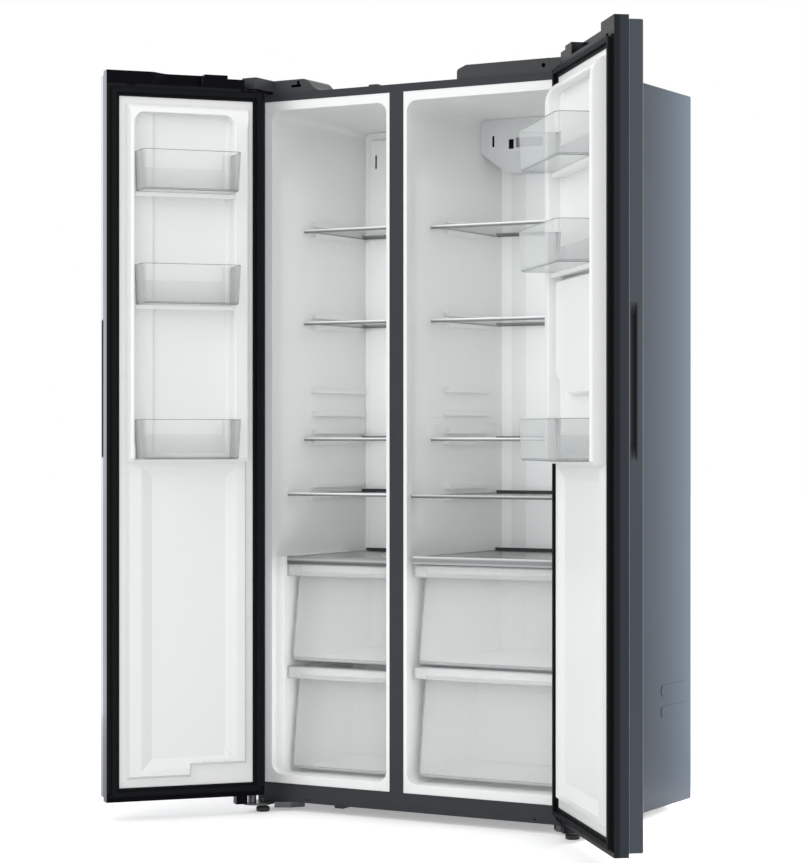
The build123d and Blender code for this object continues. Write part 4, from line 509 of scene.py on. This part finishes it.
def make_materials(look):
    """Every finish of the refrigerator."""
    GROUPS["paint_surface"] = make_paint_group()
    GROUPS["rolled_sheet"] = make_brush_group()
    MATERIALS.update(
        cabinet_paint=painted("cabinet_paint", look.cabinet, 0.42, mottle=0.05, specular_ior_level=0.1),
        strip_paint=painted("strip_paint", look.strip, 0.42, specular_ior_level=0.25),
        door_face=painted("door_face", look.door, 0.16, coat=0.8, peel=300.0, bump=0.006, change=0.03),
        door_frame=painted("door_frame", look.door_frame, 0.45, bump=0.05, peel=2200.0,
                           specular_ior_level=0.12),
        # The free edges carry painted shade and a painted highlight across their depth.
        freezer_door_edge=edge_finish("freezer", look.door_frame, look.door_edge),
        fridge_door_edge=edge_finish("fridge", look.door_frame, look.door_edge),
        # The seam bead is a painted highlight.
        seam_trim=painted("seam_trim", look.seam, 0.25, bump=0.01),
        cap_plastic=painted("cap_plastic", look.cap, 0.30, bump=0.05, peel=2200.0,
                            specular_ior_level=0.06),
        cover_plastic=painted("cover_plastic", look.cover, 0.42, bump=0.05, peel=2200.0,
                              specular_ior_level=0.25),
        grip_plastic=painted("grip_plastic", look.grip, 0.30, bump=0.05, peel=2200.0,
                             specular_ior_level=0.25),
        seal_rubber=painted("seal_rubber", look.seal, 0.6, bump=0.08, peel=1500.0, specular_ior_level=0.1),
        foot_rubber=painted("foot_rubber", look.rubber, 0.5, bump=0.1, peel=1500.0),
        liner_plastic=painted("liner_plastic", look.liner, 0.30, mottle=0.02, bump=0.015, peel=500.0),
        liner_rib_end=painted("liner_rib_end", look.rib_end, 0.4, mottle=0.02),
        fitting_plastic=painted("fitting_plastic", look.fitting, 0.32, mottle=0.02, peel=700.0),
        duct_plastic=painted("duct_plastic", look.duct, 0.36, mottle=0.02, peel=700.0),
        # The lamp housing's colour is painted shade on white plastic.
        lamp_plastic=painted("lamp_plastic", look.lamp, 0.34, mottle=0.02, peel=700.0),
        dark_bar=painted("dark_bar", look.bar, 0.35),
        foam=painted("foam", look.foam, 0.9, mottle=0.2, bump=0.5, peel=260.0),
        black_steel=painted("black_steel", look.black_steel, 0.30, coat=0.3, bump=0.05),
        board_resin=painted("board_resin", look.board, 0.4, mottle=0.3, peel=400.0),
        zinc=plated("zinc", look.zinc, 0.24),
        hinge_steel=plated("hinge_steel", look.hinge_steel, 0.2),
        fins=plated("fins", look.fins, 0.2),
        # The trims' darker bands are painted shade.
        shelf_trim=trim_finish("shelf_trim", SHELF_TRIM),
        cover_trim=trim_finish("cover_trim", COVER_TRIM),
        clear_plastic=see_through("clear_plastic", look.clear, 0.12, face=0.045, edge=0.75, power=3.0),
        # The bins' end walls are painted shade.
        clear_end=see_through("clear_end", look.clear_end, 0.12, face=0.15, edge=0.75, power=3.0),
        clear_rim=see_through("clear_rim", look.rim, 0.12, face=0.42, edge=0.85, power=2.0),
        # The edge lines are painted shade.
        edge_line=see_through("edge_line", look.edge_line, 0.15, face=0.55, edge=0.85, power=2.0),
        frosted_plastic=see_through("frosted_plastic", look.frosted, 0.16, face=0.27, edge=0.88, power=3.0),
        shelf_glass=see_through("shelf_glass", look.glass, 0.05, face=0.07, edge=0.36, power=3.0),
        # The underside of the glass is painted shade.
        glass_under=see_through("glass_under", look.glass_under, 0.05, face=0.05, edge=0.36, power=3.0),
        glass_edge=see_through("glass_edge", look.glass_edge, 0.10, face=0.65, edge=0.9, power=2.0),
        # The lens's colour is darkened as painted shade.
        lens=see_through("lens", look.lens, 0.4, face=0.80, edge=0.9, power=1.5),
    )


def dress(node, *names, choose=None):
    """Give a CAD node its materials; choose picks one for each face from the face's centre and normal."""
    target = NODES[node]
    mesh = target.data
    mesh.materials.clear()
    for name in names:
        mesh.materials.append(MATERIALS[name])
    if choose:
        for face in mesh.polygons:
            face.material_index = choose(face.center, face.normal)


# ---------------------------------------------------------------- mesh pieces
def slab(shape, low, high):
    """Add a box with eased edges between two corners to a bmesh."""
    made = bmesh.ops.create_cube(shape, size=1.0)["verts"]
    size = Vector(high) - Vector(low)
    bmesh.ops.scale(shape, vec=size, verts=made)
    bmesh.ops.translate(shape, vec=(Vector(low) + Vector(high)) / 2, verts=made)
    edges = list({edge for vertex in made for edge in vertex.link_edges})
    bmesh.ops.bevel(shape, geom=edges, offset=min(size) * EASED_SHARE, segments=2, affect="EDGES",
                    profile=0.5)


def tube(shape, start, end, radius, sides=6):
    """Add a closed prism with an even number of sides along a line to a bmesh."""
    along = Vector(end) - Vector(start)
    turn = along.to_track_quat("Z", "Y").to_matrix().to_4x4()
    place = Matrix.Translation((Vector(start) + Vector(end)) / 2) @ turn
    bmesh.ops.create_cone(shape, cap_ends=True, segments=sides, radius1=radius, radius2=radius,
                          depth=along.length, matrix=place)


def finish_piece(name, shape, material, carrier):
    """Turn a bmesh into a piece that rides on the body of a CAD node."""
    mesh = bpy.data.meshes.new(name)
    shape.to_mesh(mesh)
    shape.free()
    for face in mesh.polygons:
        face.use_smooth = True
    mesh.materials.append(MATERIALS[material])
    piece = bpy.data.objects.new(name, mesh)
    bpy.context.scene.collection.objects.link(piece)
    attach(piece, BODIES[carrier])


def hard_edges(node):
    """Sharp edges of a CAD node's mesh, as start, end and the mean of the two faces' normals."""
    shape = bmesh.new()
    shape.from_mesh(NODES[node].data)
    bmesh.ops.remove_doubles(shape, verts=shape.verts, dist=MERGE)
    found = []
    for edge in shape.edges:
        if len(edge.link_faces) == 2 and edge.calc_face_angle(0.0) > SHARP and edge.calc_length() > SHORTEST:
            normal = sum((face.normal for face in edge.link_faces), Vector()).normalized()
            found.append((edge.verts[0].co.copy(), edge.verts[1].co.copy(), normal))
    shape.free()
    return found


def edge_beads(node, radius, rear=None):
    """Darker line just inside every sharp edge of a clear moulding, painted shade where such a moulding bends
    the light.

    Edges that lie at the far end along the rear direction, if one is given, stay plain.
    """
    shape = bmesh.new()
    edges = hard_edges(node)
    if rear:
        wall = max(vertex.co.dot(rear) for vertex in NODES[node].data.vertices) - REAR_WALL
        edges = [edge for edge in edges if min(edge[0].dot(rear), edge[1].dot(rear)) < wall]
    for start, end, normal in edges:
        shift = normal * radius * BEAD_SINK
        tube(shape, start - shift, end - shift, radius)
    finish_piece(f"{node}_edges", shape, "edge_line", node)


# ---------------------------------------------------------------- operators
class FRIDGE_OT_finishes(bpy.types.Operator):
    """Make every finish that the other operators use"""
    bl_idname = "fridge.finishes"
    bl_label = "Finishes"

    def execute(self, context):
        make_materials(context.scene.fridge_finish)
        return {"FINISHED"}


class FRIDGE_OT_cabinet(bpy.types.Operator):
    """Paint the cabinet's shell, front frame, rail and centre strip"""
    bl_idname = "fridge.cabinet"
    bl_label = "Cabinet"

    def execute(self, context):
        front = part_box("outer_cabinet")[0].y
        dress("outer_cabinet", "cabinet_paint", "strip_paint",
              choose=lambda centre, normal: int(centre.y < front + STRIP_DEPTH and normal.y < -STRIP_FACING))
        dress("front_rail", "strip_paint")
        dress("mullion_cover", "strip_paint")
        dress("insulation", "foam")
        return {"FINISHED"}


def rib_end(node):
    """Choose the small faces that close the side ribs towards the front, which take a darker colour as
    painted shade.
    """
    low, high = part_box(node)

    def choose(centre, normal):
        inside = low.y + RIB_ZONE[0] < centre.y < high.y - RIB_ZONE[1]
        return int(inside and normal.y < -RIB_FACING)
    return choose


def slot_inserts(name, node, depths, slots):
    """Dark inserts in the slots of a node's front, between two depths behind its front face, as painted
    shadow of the slots' depth.
    """
    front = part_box(node)[0].y
    shape = bmesh.new()
    for left, right, low, high in slots:
        slab(shape, (left, front + depths[0], low + SLOT_GAP), (right, front + depths[1], high - SLOT_GAP))
    finish_piece(name, shape, "cap_plastic", node)


class FRIDGE_OT_compartments(bpy.types.Operator):
    """Finish the two liners and the covers inside them"""
    bl_idname = "fridge.compartments"
    bl_label = "Compartments"

    def execute(self, context):
        for node in ("freezer_liner", "fridge_liner"):
            # The rib ends of the liners are painted shade.
            dress(node, "liner_plastic", "liner_rib_end", choose=rib_end(node))
        dress("evaporator_cover", "fitting_plastic")
        dress("air_duct", "duct_plastic")
        # The slot inserts are painted shadow.
        slot_inserts("air_slot_gauze", "evaporator_cover", COVER_GAUZE,
                     [(middle - SLOT_HALF, middle + SLOT_HALF, low, high)
                      for middle, low, high in COVER_SLOTS])
        slot_inserts("lamp_slot_gauze", "lamp_housing", LAMP_GAUZE,
                     [(left + SLOT_GAP, right - SLOT_GAP, low, high)
                      for left, right, low, high in LAMP_SLOTS])
        # The lamp housing and lens carry painted shade.
        dress("lamp_housing", "lamp_plastic")
        dress("lamp_lens", "lens")
        return {"FINISHED"}


def shelf_part(node):
    """Choose the glass's top or underside, front trim, rear bar or polished edge from a face's place; the
    underside takes a darker copy of the glass as painted shade.
    """
    middle = sum(corner.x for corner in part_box("mullion_cover")) / 2
    reach = {}
    for right in (False, True):
        corners = [vertex.co for vertex in NODES[node].data.vertices if (vertex.co.x > middle) == right]
        if corners:
            reach[right] = (min(corner.y for corner in corners), max(corner.y for corner in corners),
                            min(corner.z for corner in corners))

    def choose(centre, normal):
        front, rear, foot = reach[centre.x > middle]
        if centre.y < front + TRIM_DEPTH:
            return 1
        if centre.y > rear - BAR_DEPTH and centre.z > foot + GLASS_TOP:
            return 2
        if normal.z < -FACING:
            return 4
        return 0 if normal.z > FACING else 3
    return choose


def moulding_part(node, across=None):
    """Choose rim, end wall or wall of a clear moulding; across is the direction its end walls face. The end
    walls take a darker copy of the clear plastic as painted shade.
    """
    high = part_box(node)[1].z

    def choose(centre, normal):
        if centre.z > high - RIM and abs(normal.z) > FACING:
            return 1
        return 2 if across and abs(normal.dot(across)) > FACING else 0
    return choose


class FRIDGE_OT_shelves(bpy.types.Operator):
    """Finish the glass shelves and the drawer covers with their trims"""
    bl_idname = "fridge.shelves"
    bl_label = "Shelves"

    def execute(self, context):
        for room in SIDES:
            for i in range(SHELVES):
                node = f"{room}_shelf_{i + 1}"
                dress(node, "shelf_glass", "shelf_trim", "dark_bar", "glass_edge", "glass_under",
                      choose=shelf_part(node))
        dress("drawer_covers", "shelf_glass", "cover_trim", "dark_bar", "glass_edge", "glass_under",
              choose=shelf_part("drawer_covers"))
        return {"FINISHED"}


class FRIDGE_OT_drawers(bpy.types.Operator):
    """Finish the clear drawers and door bins"""
    bl_idname = "fridge.drawers"
    bl_label = "Drawers and bins"

    def execute(self, context):
        detail = context.scene.fridge_detail
        for room, side in SIDES.items():
            for i in range(DRAWERS):
                node = f"{room}_drawer_{i + 1}"
                dress(node, "frosted_plastic", "clear_rim", choose=moulding_part(node))
                edge_beads(node, detail.drawer_bead)
            across, outward = door_axes(side)
            for i in range(BINS):
                node = f"{room}_bin_{i + 1}"
                dress(node, "clear_plastic", "clear_rim", "clear_end", choose=moulding_part(node, across))
                edge_beads(node, detail.bin_bead, outward)
        return {"FINISHED"}


def seam_bead(room, radius):
    """Thin satin bead in the groove between a door's body and its front, brightened as a painted highlight
    along the seam.
    """
    across, outward = door_axes(SIDES[room])
    corners = [vertex.co for vertex in NODES[f"{room}_door_body"].data.vertices]
    free_edge = max(corner.dot(across) for corner in corners)
    seam = max(corner.dot(outward) for corner in corners)
    low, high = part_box(f"{room}_door_panel")
    foot = across * (free_edge - SEAM_SINK * radius) + outward * (seam + radius)
    shape = bmesh.new()
    tube(shape, foot + Vector((0, 0, low.z + radius)), foot + Vector((0, 0, high.z - radius)), radius,
         SEAM_SIDES)
    finish_piece(f"{room}_door_seam", shape, "seam_trim", f"{room}_door_body")


def facing_part(direction):
    """Choose the faces that look in a direction."""
    return lambda centre, normal: int(normal.dot(direction) > FACING)


class FRIDGE_OT_doors(bpy.types.Operator):
    """Finish both doors: face, frame, inner liner, seal, caps and grips"""
    bl_idname = "fridge.doors"
    bl_label = "Doors"

    def execute(self, context):
        for room, side in SIDES.items():
            free_side = facing_part(door_axes(side)[0])
            dress(f"{room}_door_panel", "door_face")
            # The free sides of the body and caps take the edge's painted shade and highlight.
            dress(f"{room}_door_body", "door_frame", f"{room}_door_edge", choose=free_side)
            dress(f"{room}_door_liner", "liner_plastic")
            dress(f"{room}_door_gasket", "seal_rubber")
            dress(f"{room}_door_caps", "cap_plastic", f"{room}_door_edge", choose=free_side)
            dress(f"{room}_door_grip", "grip_plastic")
            seam_bead(room, context.scene.fridge_detail.seam_bead)
        return {"FINISHED"}


class FRIDGE_OT_top(bpy.types.Operator):
    """Finish the hinges, their covers, the board and its cover"""
    bl_idname = "fridge.top"
    bl_label = "Hinges and covers"

    def execute(self, context):
        for node in ("hinge_covers", "board_cover"):
            dress(node, "cover_plastic")
        dress("upper_hinges", "black_steel")
        dress("lower_hinges", "hinge_steel")
        dress("control_board", "board_resin")
        dress("cabinet_screws", "zinc")
        return {"FINISHED"}


class FRIDGE_OT_machine_room(bpy.types.Operator):
    """Finish the base, back, machine room and cooling parts"""
    bl_idname = "fridge.machine_room"
    bl_label = "Machine room"

    def execute(self, context):
        for node in ("back_panel", "machine_room_cover", "base_pan"):
            dress(node, "zinc")
        for node in ("condenser", "evaporator"):
            dress(node, "fins")
        for node in ("condenser_fan", "evaporator_fan", "mains_inlet"):
            dress(node, "cap_plastic")
        dress("compressor", "black_steel")
        for side in ("left", "right"):
            dress(f"front_foot_{side}", "foot_rubber")
            dress(f"rear_roller_{side}", "cap_plastic")
        return {"FINISHED"}


def area_light(name, power, size, place, aim, tint=(1.0, 1.0, 1.0)):
    """A soft rectangular light at a place, turned to a point."""
    data = bpy.data.lights.new(name, "AREA")
    data.shape = "RECTANGLE"
    data.size, data.size_y = size
    data.energy = power
    data.color = tint
    lamp = bpy.data.objects.new(name, data)
    bpy.context.scene.collection.objects.link(lamp)
    direction = Vector(aim) - Vector(place)
    lamp.rotation_euler = direction.to_track_quat("-Z", "Y").to_euler()
    lamp.location = place
    lamp.visible_camera = False
    lamp.visible_glossy = False
    return lamp


def make_world(strength):
    """Soft room light, seen as plain white by the camera and through glass."""
    world = bpy.data.worlds.new("studio")
    world.use_nodes = True
    tree = world.node_tree
    background = tree.nodes["Background"]
    path = tree.nodes.new("ShaderNodeLightPath")
    seen = math_node(tree, "MAXIMUM", path.outputs["Is Camera Ray"], path.outputs["Is Transmission Ray"])
    seen = math_node(tree, "MAXIMUM", seen, path.outputs["Is Glossy Ray"])
    level = math_node(tree, "MULTIPLY", seen, 1.0 - strength)
    level = math_node(tree, "ADD", level, strength)
    background.inputs["Color"].default_value = WHITE
    link(tree, level, background.inputs["Strength"])
    bpy.context.scene.world = world


def make_floor(level):
    """A wide white floor that keeps the object's shadow."""
    mesh = bpy.data.meshes.new("floor")
    turns = ((-1, -1), (1, -1), (1, 1), (-1, 1))
    mesh.from_pydata([(FLOOR_REACH * x, FLOOR_REACH * y, level) for x, y in turns], [], [(0, 1, 2, 3)])
    floor = bpy.data.objects.new("floor", mesh)
    bpy.context.scene.collection.objects.link(floor)
    material, tree, shader = new_material("floor", roughness=0.9, specular_ior_level=0.0)
    shader.inputs["Base Color"].default_value = FLOOR_GREY
    path = tree.nodes.new("ShaderNodeLightPath")
    glow = math_node(tree, "MULTIPLY", path.outputs["Is Camera Ray"], FLOOR_GLOW)
    shader.inputs["Emission Color"].default_value = WHITE
    link(tree, glow, shader.inputs["Emission Strength"])
    mesh.materials.append(material)


class FRIDGE_OT_stage(bpy.types.Operator):
    """Set the floor, lights and camera"""
    bl_idname = "fridge.stage"
    bl_label = "Stage"

    def execute(self, context):
        scene = context.scene
        stage = scene.fridge_stage
        make_floor(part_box("front_foot_left")[0].z)
        make_world(stage.world)
        area_light("key", stage.key_power, **KEY_LIGHT)
        area_light("side", stage.side_power, **SIDE_LIGHT)
        left = area_light("left", stage.left_power, **LEFT_LIGHT)
        left.visible_glossy = True
        drawers_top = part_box("drawer_covers")[1].z
        for room in SIDES:
            low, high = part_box(f"{room}_liner")
            across = (low.x + high.x) / 2
            width = high.x - low.x - FILL_INSET
            top = high.z - FILL_DROP
            middle = (drawers_top + top) / 2
            lamp = area_light(f"{room}_fill", stage.room_power * width,
                              size=(width, top - drawers_top - FILL_INSET),
                              place=(across, low.y + MOUTH_GAP, middle), aim=(across, high.y, middle))
            lamp.data.spread = FILL_SPREAD
            middle = (drawers_top + low.z) / 2
            area_light(f"{room}_drawer_fill", stage.drawer_power * width,
                       size=(width, drawers_top - low.z - FILL_INSET),
                       place=(across, low.y - MOUTH_GAP, middle), aim=(across, high.y, middle))
        data = bpy.data.cameras.new("camera")
        data.lens = stage.lens
        data.shift_y = stage.shift
        data.clip_end = CAMERA_REACH
        camera = bpy.data.objects.new("camera", data)
        camera.location = (stage.camera_x, stage.camera_y, stage.camera_z)
        camera.rotation_euler = (math.radians(90.0), 0.0, stage.azimuth)
        scene.collection.objects.link(camera)
        scene.camera = camera
        scene.view_settings.view_transform = "Standard"
        return {"FINISHED"}


OPERATORS = (
    FRIDGE_OT_finishes,
    FRIDGE_OT_cabinet,
    FRIDGE_OT_compartments,
    FRIDGE_OT_shelves,
    FRIDGE_OT_drawers,
    FRIDGE_OT_doors,
    FRIDGE_OT_top,
    FRIDGE_OT_machine_room,
    FRIDGE_OT_stage,
)


class FRIDGE_PT_panel(bpy.types.Panel):
    """Buttons and settings of the refrigerator's finish"""
    bl_idname = "FRIDGE_PT_panel"
    bl_label = "Refrigerator"
    bl_space_type = "VIEW_3D"
    bl_region_type = "UI"
    bl_category = "Refrigerator"

    def draw(self, context):
        for operator in OPERATORS:
            self.layout.operator(operator.bl_idname)
        scene = context.scene
        for settings in (scene.fridge_finish, scene.fridge_detail, scene.fridge_stage):
            for name in settings.__annotations__:
                self.layout.prop(settings, name)


CLASSES = (FinishSettings, DetailSettings, StageSettings, *OPERATORS, FRIDGE_PT_panel)


def register():
    for cls in CLASSES:
        bpy.utils.register_class(cls)
    bpy.types.Scene.fridge_finish = PointerProperty(type=FinishSettings)
    bpy.types.Scene.fridge_detail = PointerProperty(type=DetailSettings)
    bpy.types.Scene.fridge_stage = PointerProperty(type=StageSettings)


def unregister():
    del bpy.types.Scene.fridge_stage
    del bpy.types.Scene.fridge_detail
    del bpy.types.Scene.fridge_finish
    for cls in reversed(CLASSES):
        bpy.utils.unregister_class(cls)


def main():
    """Run every operator in order."""
    register()
    for operator in OPERATORS:
        group, name = operator.bl_idname.split(".")
        getattr(getattr(bpy.ops, group), name)()


if __name__ == "__main__":
    main()
